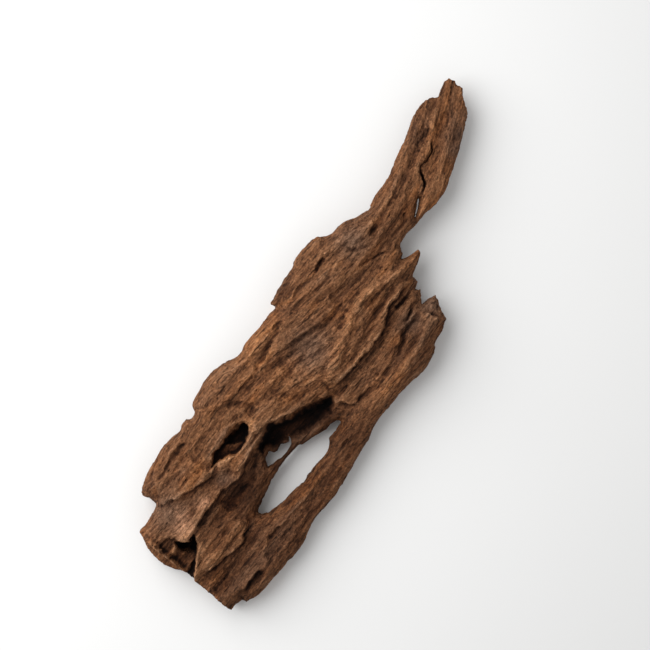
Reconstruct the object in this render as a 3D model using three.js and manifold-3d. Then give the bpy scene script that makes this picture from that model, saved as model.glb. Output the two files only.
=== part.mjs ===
// A piece of driftwood, in millimetres: a flat, weathered trunk with one sawn end, a side arm that
// runs round a long hole, and an upper branch that ends in a thin paddle. It lies on its back.
// +X runs along the wood from the sawn end to the tip, and +Z is its weathered face.

import * as THREE from "three";
import { mergeVertices } from "three/addons/utils/BufferGeometryUtils.js";
import Module from "manifold-3d";

const wasm = await Module();
wasm.setup();

const { clamp, degToRad, lerp, smoothstep } = THREE.MathUtils;

// The plan is a straight view of the face, with u to the right and v down.
const PLAN_MM = 5 / 3; // millimetres in one plan unit
const PLAN_CENTRE = { u: 329.757, v: 338.81 }; // the plan point above the part's origin
const LENGTH_TURN = degToRad(62.3); // from the plan's u axis up to the wood's length

// The block that the wood is carved from. It lies along the grain of the trunk.
const BLOCK_TURN = degToRad(48); // from the plan's u axis
const BLOCK_LENGTH = 1000;
const BLOCK_WIDTH = 460;
const STEP_ALONG = 18; // spacing of the relief's points along the block
const STEP_ACROSS = 8;
const BLOCK_TOP = 130; // above every ridge
const BLOCK_BOTTOM = -1; // just below the surface that the wood lies on

// The edges
const EDGE_THICKNESS = 9; // of the wood at its outline
const EDGE_REACH = 30; // how far in from the outline the wood rounds off
const LEAST_THICKNESS = 9;
const LEAST_SHARE = 0.6; // of the full thickness, where the wood is thinner than that
const LEAST_RELIEF = 0.25; // the share of the relief that is left at the very edge
const JOINT_GAP = 0.3; // between the branches and the trunk

// The face is eased down from the first height, so that it stays under the second
const EASED_FROM = 84;
const HIGHEST_FACE = 96;

const CURVE_POINTS = 1.6; // points on a round stretch for each one given
const LEAST_SIDE = 1; // the shortest side of an outline
const WELD = 1e-4; // corners nearer than this are one

// The outline clockwise from the tip, in stretches of plan points. A round stretch is a smooth curve.
const OUTLINE = [
  { name: "jagged tip", round: false, points: [
    [445, 81], [449, 77.5], [454, 80], [458, 86], [462.5, 87], [464, 99]] },
  { name: "right side of the paddle", round: true, points: [
    [464, 99], [468, 112], [466.5, 123], [460, 148], [453, 170], [448, 188], [438, 203],
    [426, 213], [417, 224]] },
  { name: "inside of the fork", round: true, points: [
    [415, 226], [408, 233], [402, 241], [400, 247], [402, 254], [401, 259]] },
  { name: "broken spikes", round: false, points: [
    [405, 258], [412, 254], [418, 250], [421, 253], [418, 264], [412, 277], [415, 278],
    [417, 283], [415, 289], [420, 290], [421.5, 298], [422, 304], [428, 299], [435.5, 293.5],
    [438, 300], [442, 311], [447, 319]] },
  { name: "broken right edge below the flap", round: false, points: [
    [447, 319], [444.8, 323.6], [442.6, 330.6], [439, 336.3], [435.6, 343.4], [435.7, 347.5]] },
  { name: "right side of the trunk and the arm", round: true, points: [
    [435.7, 347.5], [434, 353], [430.8, 360], [424.4, 370], [411, 382.5], [395, 399],
    [376, 424], [368, 441], [353, 466], [341, 487], [327, 506], [315, 520], [306, 538],
    [296, 554], [286, 564], [264, 591], [246, 603]] },
  { name: "notch beside the heel", round: false, points: [
    [241.5, 600], [236, 605], [231, 611]] },
  { name: "sawn end and the back layer past it", round: false, points: [
    [189, 574], [175, 570.5], [163, 565.5], [152, 556], [147, 549], [143, 541], [140, 530.5]] },
  { name: "left side of the heel", round: false, points: [
    [140, 530.5], [145, 524], [150, 517], [155, 508], [156, 503], [150, 498], [144, 496], [141, 492.5],
    [142, 487]] },
  { name: "left side of the lower trunk", round: true, points: [
    [142, 487], [148, 472], [155, 460], [165, 444], [180, 430]] },
  { name: "steps in the left side", round: false, points: [
    [182, 424], [186, 419], [192, 418], [195, 412], [192, 405], [194, 399]] },
  { name: "left side of the middle trunk", round: true, points: [
    [194, 399], [208, 378], [219, 367], [238, 355], [245, 343], [259, 326], [271, 312]] },
  { name: "end of the left flake", round: false, points: [
    [276, 308], [271, 306], [271, 303]] },
  { name: "left side of the upper trunk", round: true, points: [
    [271, 303], [280, 287], [291, 270], [297, 257], [310, 242], [317, 236.5]] },
  { name: "left side of the neck", round: true, points: [
    [324, 237], [332, 233], [342, 223], [355, 218], [368, 210], [377, 193], [388, 176],
    [395, 159], [405, 138], [412, 118], [419, 107], [430, 98]] },
  { name: "shoulder of the tip", round: false, points: [
    [438, 96], [442, 88]] },
];

// The wood doesn't thin towards the saw cut, so its edges round off as if it ran on past the cut
const SAWN_STRETCH = "sawn end and the back layer past it";
const UNCUT_END = { round: false, points: [[231, 611], [217, 637], [126, 557], [140, 530.5]] };

const LONG_HOLE = { round: false, points: [
  [257.3, 511.2], [258.3, 514.4], [263.4, 514.7], [270.4, 511.8], [276.8, 507.3],
  [284.4, 501], [290.8, 494], [298.5, 486.6], [304.2, 481.8], [307.4, 475.5], [313.8, 467.2],
  [323.3, 457.6], [327.5, 451.9], [329.5, 446], [329.7, 442.3], [328.7, 439], [331.6, 435.3],
  [336.1, 430.8], [337.7, 426.4], [340.9, 423.2], [339.9, 420.3], [336.1, 421],
  [330.3, 424.5], [326.5, 429.6], [313.8, 436.9], [302, 445], [298.5, 445], [290.2, 453.8],
  [286.2, 458.2], [283, 462.6], [278.7, 468.5], [276.1, 473.6], [271, 481.2], [267.2, 490.1],
  [260.2, 505.4]] };
const SMALL_HOLE = { round: false, points: [
  [267.5, 467.5], [265.5, 461.4], [266.3, 456.3], [268.8, 451.2], [274.5, 453.2],
  [277.4, 450.6], [280.6, 443.9], [284.4, 444.2], [289, 441.9], [288, 436], [290.8, 438.5],
  [291.5, 444.2], [288.3, 449.8], [285, 454], [281.6, 457.8], [277.4, 460.3],
  [274.2, 463.2]] };
const CRACK_GAP = { round: false, points: [
  [416.8, 199], [419.6, 199.5], [418.6, 208], [416, 217], [414, 216.5]] };
const HOLES = [LONG_HOLE, SMALL_HOLE, CRACK_GAP];

// The body of the wood at some plan points: the height of its middle, and its thickness
const BODY_REACH = 46; // how far each spot is felt
const FAR_WEIGHT = 1e-12; // what a spot far away still counts for
const BODY_SPOTS = [
  { at: [155, 535], middle: 44, thick: 76 },
  { at: [165, 495], middle: 46, thick: 80 },
  { at: [190, 520], middle: 44, thick: 80 },
  { at: [225, 595], middle: 31, thick: 50 },
  { at: [268, 562], middle: 31, thick: 52 },
  { at: [225, 545], middle: 36, thick: 62 },
  { at: [205, 425], middle: 49, thick: 84 },
  { at: [235, 455], middle: 44, thick: 80 },
  { at: [262, 400], middle: 48, thick: 88 },
  { at: [255, 350], middle: 53, thick: 62 },
  { at: [320, 335], middle: 49, thick: 90 },
  { at: [300, 265], middle: 56, thick: 46 },
  { at: [345, 270], middle: 51, thick: 78 },
  { at: [385, 245], middle: 50, thick: 66 },
  { at: [403, 190], middle: 49, thick: 46 },
  { at: [432, 150], middle: 43, thick: 30 },
  { at: [443, 112], middle: 39, thick: 23 },
  { at: [451, 86], middle: 38, thick: 15 },
  { at: [430, 312], middle: 43, thick: 42 },
  { at: [405, 345], middle: 41, thick: 62 },
  { at: [370, 400], middle: 37, thick: 58 },
  { at: [348, 452], middle: 35, thick: 48 },
  { at: [318, 495], middle: 34, thick: 46 },
  { at: [288, 540], middle: 32, thick: 48 },
  { at: [312, 430], middle: 22, thick: 24 },
  { at: [272, 474], middle: 27, thick: 28 },
  { at: [238, 494], middle: 27, thick: 40 },
];

// The way the grain runs, as a turn up from the plan's u axis in degrees
const GRAIN_REACH = 55;
const GRAIN_SPOTS = [
  { at: [170, 510], turn: 44 },
  { at: [190, 450], turn: 54 },
  { at: [230, 550], turn: 50 },
  { at: [245, 590], turn: 58 },
  { at: [232, 440], turn: 52 },
  { at: [255, 360], turn: 44 },
  { at: [300, 380], turn: 34 },
  { at: [310, 300], turn: 42 },
  { at: [350, 340], turn: 44 },
  { at: [360, 260], turn: 46 },
  { at: [395, 215], turn: 57 },
  { at: [420, 160], turn: 68 },
  { at: [448, 105], turn: 76 },
  { at: [410, 310], turn: 56 },
  { at: [405, 360], turn: 58 },
  { at: [370, 420], turn: 60 },
  { at: [330, 485], turn: 54 },
  { at: [285, 545], turn: 52 },
];

// Ledges: the wood is higher on the left-hand side of each line. The rise dies out over its fade.
const LEDGE_LIP = 2; // how far back from its line a ledge reaches its full rise
const LEDGE_END = 0.12; // share of its line over which a ledge dies out at each end
const LEDGES = [
  { name: "lower edge of the shoulder plate", rise: 9, fade: 75, line: [
    [155, 503], [166, 504], [172, 498], [186, 493], [199, 485], [210, 477], [216, 468]] },
  { name: "right edge of the heel slab", rise: 9, fade: 34, line: [
    [190, 538], [195, 532], [203, 518], [212, 503], [219, 495], [229, 487], [242, 474],
    [247, 463], [252, 451], [259, 436]] },
  { name: "right edge of the tongue", rise: 9, fade: 34, line: [
    [201, 570], [210, 569], [219, 563], [224, 557], [230, 553], [237, 549], [242, 542],
    [244, 534], [247, 526], [249, 518]] },
  { name: "lip over the recess", rise: 9, fade: 38, line: [
    [256, 433], [268, 422], [288, 414], [301, 408], [315, 401], [331, 393]] },
  { name: "lower edge of the flank", rise: 7, fade: 26, line: [
    [324, 413], [331, 408], [338, 404], [348, 403], [358, 405]] },
  { name: "edge over the flank", rise: 8, fade: 34, line: [
    [332, 391], [345, 377], [356, 364], [367, 352], [377, 339], [384, 326], [390, 308],
    [400, 293], [412, 278]] },
  { name: "upper trunk plate", rise: 5, fade: 26, line: [
    [322, 262], [336, 247], [356, 235], [371, 229], [376, 218]] },
  { name: "left strip", rise: 5, fade: 18, line: [
    [236, 374], [249, 360], [266, 340], [280, 320]] },
  { name: "behind the grey flap", rise: 9, fade: 40, line: [
    [441, 320], [430, 314], [424, 305]] },
  { name: "arm plate", rise: 5, fade: 26, line: [
    [258, 556], [278, 528], [298, 506], [318, 482], [338, 455], [352, 430]] },
  { name: "heel edge", rise: 5, fade: 24, line: [
    [236, 604], [242, 590], [252, 578], [264, 567], [272, 556]] },
];

// Basins: a floor at a set height inside an outline, with a steep wall
const WALL_OUTSIDE = 0.3; // share of the wall's width that lies outside the outline
const BASINS = [
  { name: "pit", floor: 57, wall: 13, outline: [
    [211, 466], [213, 457], [219, 445], [227, 432], [232, 425], [241, 421], [248, 423],
    [250, 430], [247, 439], [237, 450], [228, 456], [219, 462]] },
  { name: "bottom of the pit", floor: 38, wall: 7, outline: [
    [224, 447], [230, 436], [236, 427], [244, 422], [250, 426], [249, 433], [243, 440],
    [234, 446]] },
  { name: "recess under the lip", floor: 24, wall: 13, outline: [
    [257, 450], [262, 431], [270, 422], [289, 415], [301, 409], [315, 402], [331, 394],
    [335, 404], [332, 413], [322, 424], [308, 434], [294, 440], [281, 444], [270, 450],
    [264, 456]] },
  { name: "valley beside the holes", floor: 50, wall: 20, outline: [
    [199, 531], [204, 520], [213, 505], [220, 497], [229, 490], [243, 477], [248, 465],
    [253, 454], [259, 440], [266, 452], [264, 462], [263, 480], [259, 489], [250, 501],
    [242, 510], [233, 513], [225, 511], [219, 506], [211, 513], [204, 525]] },
  { name: "shelf in the sawn end", floor: 68, wall: 9, outline: [
    [156, 545], [161, 541], [166, 536], [172, 534], [178, 535], [182, 538], [189, 540],
    [194, 533], [199, 530], [200, 545], [198, 558], [195, 570], [191, 580], [182, 578]] },
  { name: "deep side of the shelf", floor: 55, wall: 9, outline: [
    [170, 557], [175, 547], [181, 539], [189, 541], [197, 533], [200, 545], [198, 558],
    [195, 570], [191, 580], [182, 573]] },
  { name: "cave in the sawn end", floor: 30, wall: 7, outline: [
    [184, 542], [190, 541], [197, 533], [200, 545], [197, 557], [196, 580], [185, 580],
    [187, 560]] },
];

// Ridges and grooves: half width and height, which is negative for a groove
const STROKE_END = 0.14; // share of its line over which a stroke dies out at each end
const STROKES = [
  { name: "groove below the flank's edge", width: 15, height: -8, line: [
    [414, 281], [404, 294], [394, 310], [388, 328], [380, 342], [370, 356], [348, 379],
    [334, 394]] },
  { name: "slit beside the left strip", width: 8, height: -6, line: [
    [284, 317], [279, 327], [271, 343], [264, 357], [257, 373]] },
  { name: "slit behind the left flake", width: 8, height: -10, line: [
    [275, 305], [281, 293], [288, 280], [294, 268]] },
  { name: "neck shadow", width: 10, height: -4, line: [
    [382, 212], [377, 224], [372, 236], [369, 249]] },
  { name: "gutter beside the pit", width: 13, height: -5, line: [
    [240, 414], [226, 424], [216, 440], [208, 456]] },
  { name: "lower trunk line", width: 9, height: -3, line: [
    [228, 402], [208, 422], [192, 440], [180, 458], [168, 478]] },
  { name: "rim of the pit", width: 8, height: 6, line: [
    [257, 421], [255, 428], [250, 437], [244, 446], [238, 453]] },
  { name: "ridge down the tongue", width: 12, height: 4, line: [
    [238, 516], [232, 534], [218, 552], [206, 564]] },
  { name: "bright ridge", width: 13, height: 9, line: [
    [414, 259], [401, 268], [377, 286], [357, 307], [347, 326], [338, 350], [328, 378]] },
  { name: "grey trough", width: 22, height: -7, line: [
    [350, 308], [334, 323], [300, 350], [278, 368]] },
  { name: "ridge down from the neck", width: 10, height: 6, line: [
    [397, 178], [390, 195], [383, 208], [374, 224], [362, 234], [345, 241], [326, 258]] },
  { name: "crevice below the fork", width: 8, height: -6, line: [
    [358, 267], [368, 262], [376, 256], [393, 252]] },
  { name: "neck groove", width: 8, height: -6, line: [
    [408, 213], [398, 232], [386, 250]] },
  { name: "flank groove", width: 9, height: -7, line: [
    [420, 304], [411, 322], [406, 340], [396, 360], [380, 384]] },
  { name: "flank ridge", width: 11, height: 5, line: [
    [430, 318], [420, 340], [407, 362], [388, 388], [366, 416]] },
  { name: "heel groove", width: 9, height: -11, line: [
    [243, 603], [247, 589], [256, 579], [266, 570]] },
  { name: "heel valley", width: 20, height: -6, line: [
    [254, 528], [242, 556], [226, 580], [212, 592]] },
  { name: "arm flank groove", width: 9, height: -5, line: [
    [292, 548], [312, 514], [336, 480], [358, 444]] },
  { name: "paddle crack", width: 7, height: -10, line: [
    [424, 161], [420, 168], [423, 178], [424.5, 184], [422, 192], [416, 210], [414, 220]] },
  { name: "paddle pit", width: 9, height: -5, line: [
    [425, 130], [419, 146]] },
  { name: "paddle ridge", width: 9, height: 4, line: [
    [437, 112], [432, 132], [424, 152], [412, 178]] },
  { name: "right edge of the paddle", width: 11, height: -5, line: [
    [460, 122], [453, 150], [446, 178]] },
];

// Hollows worn in under an edge: a squashed ball, with its half sizes along the wood, across and up
const HOLLOW_SEGMENTS = { round: 18, high: 12 };
const WORN_HOLLOWS = [
  { name: "under the lip", at: [291, 420], height: 54, half: [62, 20, 13], turn: 27 },
  { name: "under the pit's upper end", at: [240, 429], height: 52, half: [26, 12, 13], turn: 48 },
  { name: "cave", at: [192, 550], height: 38, half: [34, 12, 12], turn: 52 },
];

// The underside: a long hollow, seams along the grain, and four feet that the wood rests on.
// A foot's drop is how far it reaches below the wood round it, before it is worn flat.
const BACK_STROKES = [
  { name: "long hollow", width: 52, height: 17, line: [
    [205, 520], [262, 430], [318, 350], [372, 262]] },
  { name: "left seam", width: 10, height: 9, line: [
    [188, 470], [232, 392], [276, 336], [312, 280]] },
  { name: "right seam", width: 11, height: 10, line: [
    [330, 440], [362, 385], [396, 338], [408, 300]] },
  { name: "heel seam", width: 10, height: 9, line: [
    [205, 575], [232, 540], [250, 512]] },
  { name: "neck seam", width: 9, height: 7, line: [
    [366, 250], [394, 214], [410, 172], [428, 128]] },
  { name: "spine", width: 15, height: -9, line: [
    [225, 500], [282, 418], [330, 338], [360, 300]] },
];
const FOOT_STRETCH = 1.7; // how much longer a foot is along the wood than across
const FOOT_FLAT = 0.3; // share of its reach over which a foot has its full drop
const FEET = [
  { name: "left heel", at: [170, 520], reach: 50, drop: 20 },
  { name: "right heel", at: [262, 572], reach: 46, drop: 21 },
  { name: "left shoulder", at: [293, 320], reach: 58, drop: 34 },
  { name: "right shoulder", at: [410, 347], reach: 50, drop: 25 },
];

// The layer that shows past the saw cut
const BACK_LAYER_TOP = 34;
const SAW_LINE = [[231, 611], [140.5, 532]];
const SAW_LEAD = 40; // how far the cut runs on past the wood, at both ends

// Long streaks of relief that follow the grain
const STREAKS = [
  { seed: 3, size: 24, height: 7 },
  { seed: 8, size: 13, height: 4 },
];
const STREAK_STEPS = 9; // steps taken each way along the grain
const STREAK_STRIDE = 0.9; // of the streak's size, for each step

// Where the branches leave the trunk: plan outlines that cross the wood only at the forks
const BRANCH_BLOCK = [
  [352, 214], [403, 257], [408, 245], [440, 228], [520, 150], [480, 40], [400, 40], [320, 180]];
const ARM_BLOCK = [
  [338, 419], [374, 434], [420, 440], [360, 580], [309, 541], [264, 512.5], [285, 480], [318, 445]];

const COLOURS = { trunk: 0x6b4a34, upper_branch: 0x7a583f, side_arm: 0x664430 };
const ROUGHNESS = 0.9;

const COS = Math.cos(LENGTH_TURN);
const SIN = Math.sin(LENGTH_TURN);

// A plan point in the part's frame
function toPart([u, v]) {
  const right = (u - PLAN_CENTRE.u) * PLAN_MM;
  const up = (PLAN_CENTRE.v - v) * PLAN_MM;
  return new THREE.Vector2(right * COS + up * SIN, up * COS - right * SIN);
}

function outlinePoints({ points, round }) {
  const places = points.map(toPart);
  if (!round) return places;
  return new THREE.SplineCurve(places).getPoints(Math.ceil(places.length * CURVE_POINTS));
}

function joinStretches(stretches) {
  const corners = [];
  for (const place of stretches.flatMap(outlinePoints)) {
    const last = corners.at(-1);
    if (!last || last.distanceTo(place) > LEAST_SIDE) corners.push(place);
  }
  return corners;
}

// The nearest place on an open line: its distance, the side of it, and how far along it lies
function nearest(line, x, y) {
  let best = { distance: Infinity, side: 1, along: 0 };
  for (let i = 0; i + 1 < line.length; i++) {
    const dx = line[i + 1].x - line[i].x;
    const dy = line[i + 1].y - line[i].y;
    const ex = x - line[i].x;
    const ey = y - line[i].y;
    const t = clamp((ex * dx + ey * dy) / (dx * dx + dy * dy), 0, 1);
    const distance = Math.hypot(ex - t * dx, ey - t * dy);
    if (distance < best.distance) {
      best = { distance, side: Math.sign(dx * ey - dy * ex) || 1, along: (i + t) / (line.length - 1) };
    }
  }
  return best;
}

// Distance in from a closed outline, negative outside it
function inset(corners, x, y) {
  const { distance } = nearest([...corners, corners[0]], x, y);
  let inside = false;
  corners.forEach((a, i) => {
    const b = corners[(i + 1) % corners.length];
    if (a.y > y !== b.y > y && x < a.x + ((b.x - a.x) * (y - a.y)) / (b.y - a.y)) inside = !inside;
  });
  return inside ? distance : -distance;
}

// A mean of the spots' values, each weighted by how near it is
function blend(spots, reach, x, y, valueOf) {
  let total = 0;
  let weight = 0;
  for (const spot of spots) {
    const gap2 = (x - spot.at.x) ** 2 + (y - spot.at.y) ** 2;
    const w = Math.exp(-gap2 / (2 * reach * reach)) + FAR_WEIGHT;
    total += w * valueOf(spot);
    weight += w;
  }
  return total / weight;
}

// A fixed number between -1 and 1 for each point of a grid, from large odd factors
const GRID_FACTORS = { i: 374761393, j: 668265263, seed: 1442695041, mix: 1274126177 };
function gridNumber(i, j, seed) {
  const { i: byI, j: byJ, seed: bySeed, mix } = GRID_FACTORS;
  let h = (Math.imul(i, byI) + Math.imul(j, byJ) + Math.imul(seed, bySeed)) | 0;
  h = Math.imul(h ^ (h >>> 13), mix);
  return ((h ^ (h >>> 16)) >>> 0) / 2 ** 31 - 1;
}

// Smooth noise over the plan
function noise(x, y, seed) {
  const i = Math.floor(x);
  const j = Math.floor(y);
  const a = smoothstep(x - i, 0, 1);
  const b = smoothstep(y - j, 0, 1);
  const low = lerp(gridNumber(i, j, seed), gridNumber(i + 1, j, seed), a);
  const high = lerp(gridNumber(i, j + 1, seed), gridNumber(i + 1, j + 1, seed), a);
  return lerp(low, high, b);
}

const atPlace = (item) => ({ ...item, at: toPart(item.at) });
const withLine = (item) => ({ ...item, line: item.line.map(toPart) });
const bodySpots = BODY_SPOTS.map(atPlace);
const grainSpots = GRAIN_SPOTS.map(atPlace);
const feet = FEET.map(atPlace);
const ledges = LEDGES.map(withLine);
const strokes = STROKES.map(withLine);
const backStrokes = BACK_STROKES.map(withLine);
const basins = BASINS.map((basin) => ({ ...basin, outline: basin.outline.map(toPart) }));
const outer = joinStretches(OUTLINE);
const uncut = joinStretches(
  OUTLINE.map((stretch) => (stretch.name === SAWN_STRETCH ? UNCUT_END : stretch)));
const holes = HOLES.map(outlinePoints);

function grainAngle(x, y) {
  return degToRad(blend(grainSpots, GRAIN_REACH, x, y, (spot) => spot.turn)) - LENGTH_TURN;
}

// Noise averaged along the grain, so that it makes long streaks
function streak({ seed, size, height }, x, y) {
  let total = 0;
  for (const way of [1, -1]) {
    let px = x;
    let py = y;
    for (let step = 0; step < STREAK_STEPS; step++) {
      total += noise(px / size, py / size, seed);
      const angle = grainAngle(px, py);
      px += way * size * STREAK_STRIDE * Math.cos(angle);
      py += way * size * STREAK_STRIDE * Math.sin(angle);
    }
  }
  return (height * total) / (2 * STREAK_STEPS);
}

// From 0 at the ends of a line to 1 once the share of it given is passed
function awayFromEnds(along, share) {
  return smoothstep(Math.min(along, 1 - along), 0, share);
}

function ledgeHeight({ rise, fade, line }, x, y) {
  const { distance, side, along } = nearest(line, x, y);
  if (side < 0 || distance > fade) return 0;
  const lift = smoothstep(distance, 0, LEDGE_LIP) * (1 - smoothstep(distance, 0, fade));
  return rise * lift * awayFromEnds(along, LEDGE_END);
}

function strokeHeight({ width, height, line }, x, y) {
  const { distance, along } = nearest(line, x, y);
  if (distance > width) return 0;
  return height * awayFromEnds(along, STROKE_END) * (1 - (distance / width) ** 2) ** 2;
}

// A height eased down, so that it doesn't reach past the highest face
function lowered(height) {
  const room = HIGHEST_FACE - EASED_FROM;
  return height > EASED_FROM ? EASED_FROM + room * Math.tanh((height - EASED_FROM) / room) : height;
}

// How much of the full thickness there is so far in from the outline
function rounding(depth) {
  const t = clamp(depth / EDGE_REACH, 0, 1);
  return Math.sqrt(1 - (1 - t) ** 2);
}

// Heights of the face and the back over one place
function heights(x, y) {
  const depth = Math.min(inset(uncut, x, y), ...holes.map((hole) => -inset(hole, x, y)));
  const middle = blend(bodySpots, BODY_REACH, x, y, (spot) => spot.middle);
  const full = blend(bodySpots, BODY_REACH, x, y, (spot) => spot.thick);
  const half = lerp(Math.min(EDGE_THICKNESS, full), full, rounding(depth)) / 2;
  const relief = clamp(depth / EDGE_REACH, LEAST_RELIEF, 1);

  let face = middle + half;
  for (const ledge of ledges) face += ledgeHeight(ledge, x, y) * relief;
  for (const kind of STREAKS) face += streak(kind, x, y) * relief;
  for (const { floor, wall, outline } of basins) {
    const sunk = smoothstep(inset(outline, x, y), -wall * WALL_OUTSIDE, wall);
    face = lerp(face, Math.min(face, floor), sunk);
  }
  for (const stroke of strokes) face += strokeHeight(stroke, x, y) * relief;
  face = lowered(face);

  let back = middle - half;
  for (const stroke of backStrokes) back += strokeHeight(stroke, x, y) * relief;
  for (const kind of STREAKS) back += streak({ ...kind, seed: kind.seed + 1 }, x, y) * relief;
  for (const { at, reach, drop } of feet) {
    const distance = Math.hypot((x - at.x) / FOOT_STRETCH, y - at.y);
    back -= drop * (1 - smoothstep(distance, reach * FOOT_FLAT, reach));
  }
  const least = Math.min(LEAST_THICKNESS, full * LEAST_SHARE);
  back = Math.max(Math.min(back, face - least), 0);
  face = Math.max(face, back + least);
  return { face, back };
}

// A closed mesh as a solid
function solid(geometry) {
  const bare = geometry.clone();
  bare.deleteAttribute("normal");
  bare.deleteAttribute("uv");
  const merged = mergeVertices(bare, WELD);
  return new wasm.Manifold(new wasm.Mesh({
    numProp: 3,
    vertProperties: new Float32Array(merged.attributes.position.array),
    triVerts: new Uint32Array(merged.index.array),
  }));
}

// A solid as a mesh geometry
function geometryOf(body) {
  const mesh = body.getMesh();
  const geometry = new THREE.BufferGeometry();
  geometry.setAttribute("position", new THREE.BufferAttribute(mesh.vertProperties, 3));
  geometry.setIndex(new THREE.BufferAttribute(mesh.triVerts, 1));
  geometry.computeVertexNormals();
  return geometry;
}

// An upright prism over a plan outline
function prism(corners, low, high) {
  const shape = new THREE.Shape(corners);
  const geometry = new THREE.ExtrudeGeometry(shape, { depth: high - low, bevelEnabled: false });
  geometry.translate(0, 0, low);
  return solid(geometry);
}

// The block with the relief of both faces
function reliefBlock() {
  const across = Math.round(BLOCK_WIDTH / STEP_ACROSS);
  const along = Math.round(BLOCK_LENGTH / STEP_ALONG);
  const geometry = new THREE.BoxGeometry(BLOCK_LENGTH, BLOCK_WIDTH, 1, along, across, 1);
  geometry.rotateZ(BLOCK_TURN - LENGTH_TURN);
  const position = geometry.attributes.position;
  for (let i = 0; i < position.count; i++) {
    const { face, back } = heights(position.getX(i), position.getY(i));
    position.setZ(i, position.getZ(i) > 0 ? face : back);
  }
  return solid(geometry);
}

// All of the wood beyond the saw cut and above the back layer
function sawWaste() {
  const [right, left] = SAW_LINE.map(toPart);
  const along = left.clone().sub(right).normalize();
  const outward = new THREE.Vector2(-along.y, along.x);
  if (outward.x > 0) outward.negate();
  const start = right.clone().addScaledVector(along, -SAW_LEAD);
  const end = left.clone().addScaledVector(along, SAW_LEAD);
  const far = [end, start].map((corner) => corner.clone().addScaledVector(outward, SAW_LEAD));
  return prism([start, end, ...far], BACK_LAYER_TOP, BLOCK_TOP);
}

// A squashed ball, turned to lie along the grain
function wornHollow({ at, height, half, turn }) {
  const ball = new THREE.SphereGeometry(1, HOLLOW_SEGMENTS.round, HOLLOW_SEGMENTS.high);
  const centre = toPart(at);
  ball.rotateX(Math.PI / 2);
  ball.scale(...half);
  ball.rotateZ(degToRad(turn) - LENGTH_TURN);
  ball.translate(centre.x, centre.y, height);
  return solid(ball);
}

// A plan outline moved outward by a distance, for the gap at a joint
function widened(corners, distance) {
  const grow = THREE.ShapeUtils.isClockWise(corners) ? -distance : distance;
  return corners.map((corner, i) => {
    const before = corners.at(i - 1);
    const after = corners[(i + 1) % corners.length];
    const into = corner.clone().sub(before).normalize();
    const outOf = after.clone().sub(corner).normalize();
    const sum = new THREE.Vector2(into.y + outOf.y, -into.x - outOf.x);
    return corner.clone().addScaledVector(sum, (2 * grow) / sum.lengthSq());
  });
}

function namedMesh(name, body) {
  const material = new THREE.MeshStandardMaterial({
    color: COLOURS[name], roughness: ROUGHNESS, metalness: 0,
  });
  const mesh = new THREE.Mesh(geometryOf(body), material);
  mesh.name = name;
  return mesh;
}

let wood = reliefBlock().intersect(prism(outer, BLOCK_BOTTOM, BLOCK_TOP));
for (const hole of holes) wood = wood.subtract(prism(hole, BLOCK_BOTTOM, BLOCK_TOP));
for (const hollow of WORN_HOLLOWS) wood = wood.subtract(wornHollow(hollow));
wood = wood.subtract(sawWaste());

const branchBlock = BRANCH_BLOCK.map(toPart);
const armBlock = ARM_BLOCK.map(toPart);
const upperBranch = wood.intersect(prism(branchBlock, BLOCK_BOTTOM, BLOCK_TOP));
const sideArm = wood.intersect(prism(armBlock, BLOCK_BOTTOM, BLOCK_TOP));
const trunk = wood
  .subtract(prism(widened(branchBlock, JOINT_GAP), BLOCK_BOTTOM, BLOCK_TOP))
  .subtract(prism(widened(armBlock, JOINT_GAP), BLOCK_BOTTOM, BLOCK_TOP));

const group = new THREE.Group();
group.add(namedMesh("trunk", trunk));
group.add(namedMesh("upper_branch", upperBranch));
group.add(namedMesh("side_arm", sideArm));

export default group;
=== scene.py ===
# A piece of driftwood lying on its back: a flat, weathered trunk with a sawn end, a side arm round a
# long hole, and an upper branch that ends in a thin paddle. The wood is carved as a field of heights
# and hollows, meshed, and then grained along the way its fibres run.

import math

import bpy
import numpy as np
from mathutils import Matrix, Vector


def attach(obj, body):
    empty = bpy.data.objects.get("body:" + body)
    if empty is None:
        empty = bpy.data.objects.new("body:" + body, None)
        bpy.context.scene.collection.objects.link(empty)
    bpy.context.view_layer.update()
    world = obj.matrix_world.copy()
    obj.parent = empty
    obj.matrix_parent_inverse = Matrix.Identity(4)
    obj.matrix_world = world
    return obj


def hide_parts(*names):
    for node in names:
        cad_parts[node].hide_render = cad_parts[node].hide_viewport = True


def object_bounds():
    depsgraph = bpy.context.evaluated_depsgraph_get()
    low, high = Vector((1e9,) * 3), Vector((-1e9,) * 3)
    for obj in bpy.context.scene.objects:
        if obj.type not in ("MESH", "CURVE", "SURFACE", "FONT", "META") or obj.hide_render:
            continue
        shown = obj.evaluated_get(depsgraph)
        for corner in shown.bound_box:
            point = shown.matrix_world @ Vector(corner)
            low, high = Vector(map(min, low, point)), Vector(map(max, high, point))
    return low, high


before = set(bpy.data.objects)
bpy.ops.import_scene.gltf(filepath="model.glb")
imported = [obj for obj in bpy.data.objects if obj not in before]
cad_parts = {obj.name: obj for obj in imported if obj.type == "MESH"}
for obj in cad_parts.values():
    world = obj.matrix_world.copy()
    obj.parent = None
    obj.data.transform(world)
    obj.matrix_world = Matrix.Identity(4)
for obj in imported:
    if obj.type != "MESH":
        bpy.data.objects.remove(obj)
CAD_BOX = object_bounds()

MM = 0.001  # metres in a millimetre

# The plan is a straight view of the face, with u to the right and v down.
PLAN_MM = 5 / 3  # millimetres in one plan unit
PLAN_CENTRE = (329.757, 338.81)  # the plan point above the part's origin
LENGTH_TURN = math.radians(62.3)  # from the plan's u axis up to the wood's length
PLAN_SIZE = 650  # the view is this many plan units wide and high

# The carved field, in mm
STEP = 1.7  # between its points
LENGTH = 980
WIDTH = 348
LOWEST = -3
HIGHEST = 111

GRID_END = 1.001  # off its number of points, so that it is read up to just short of the last one

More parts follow.
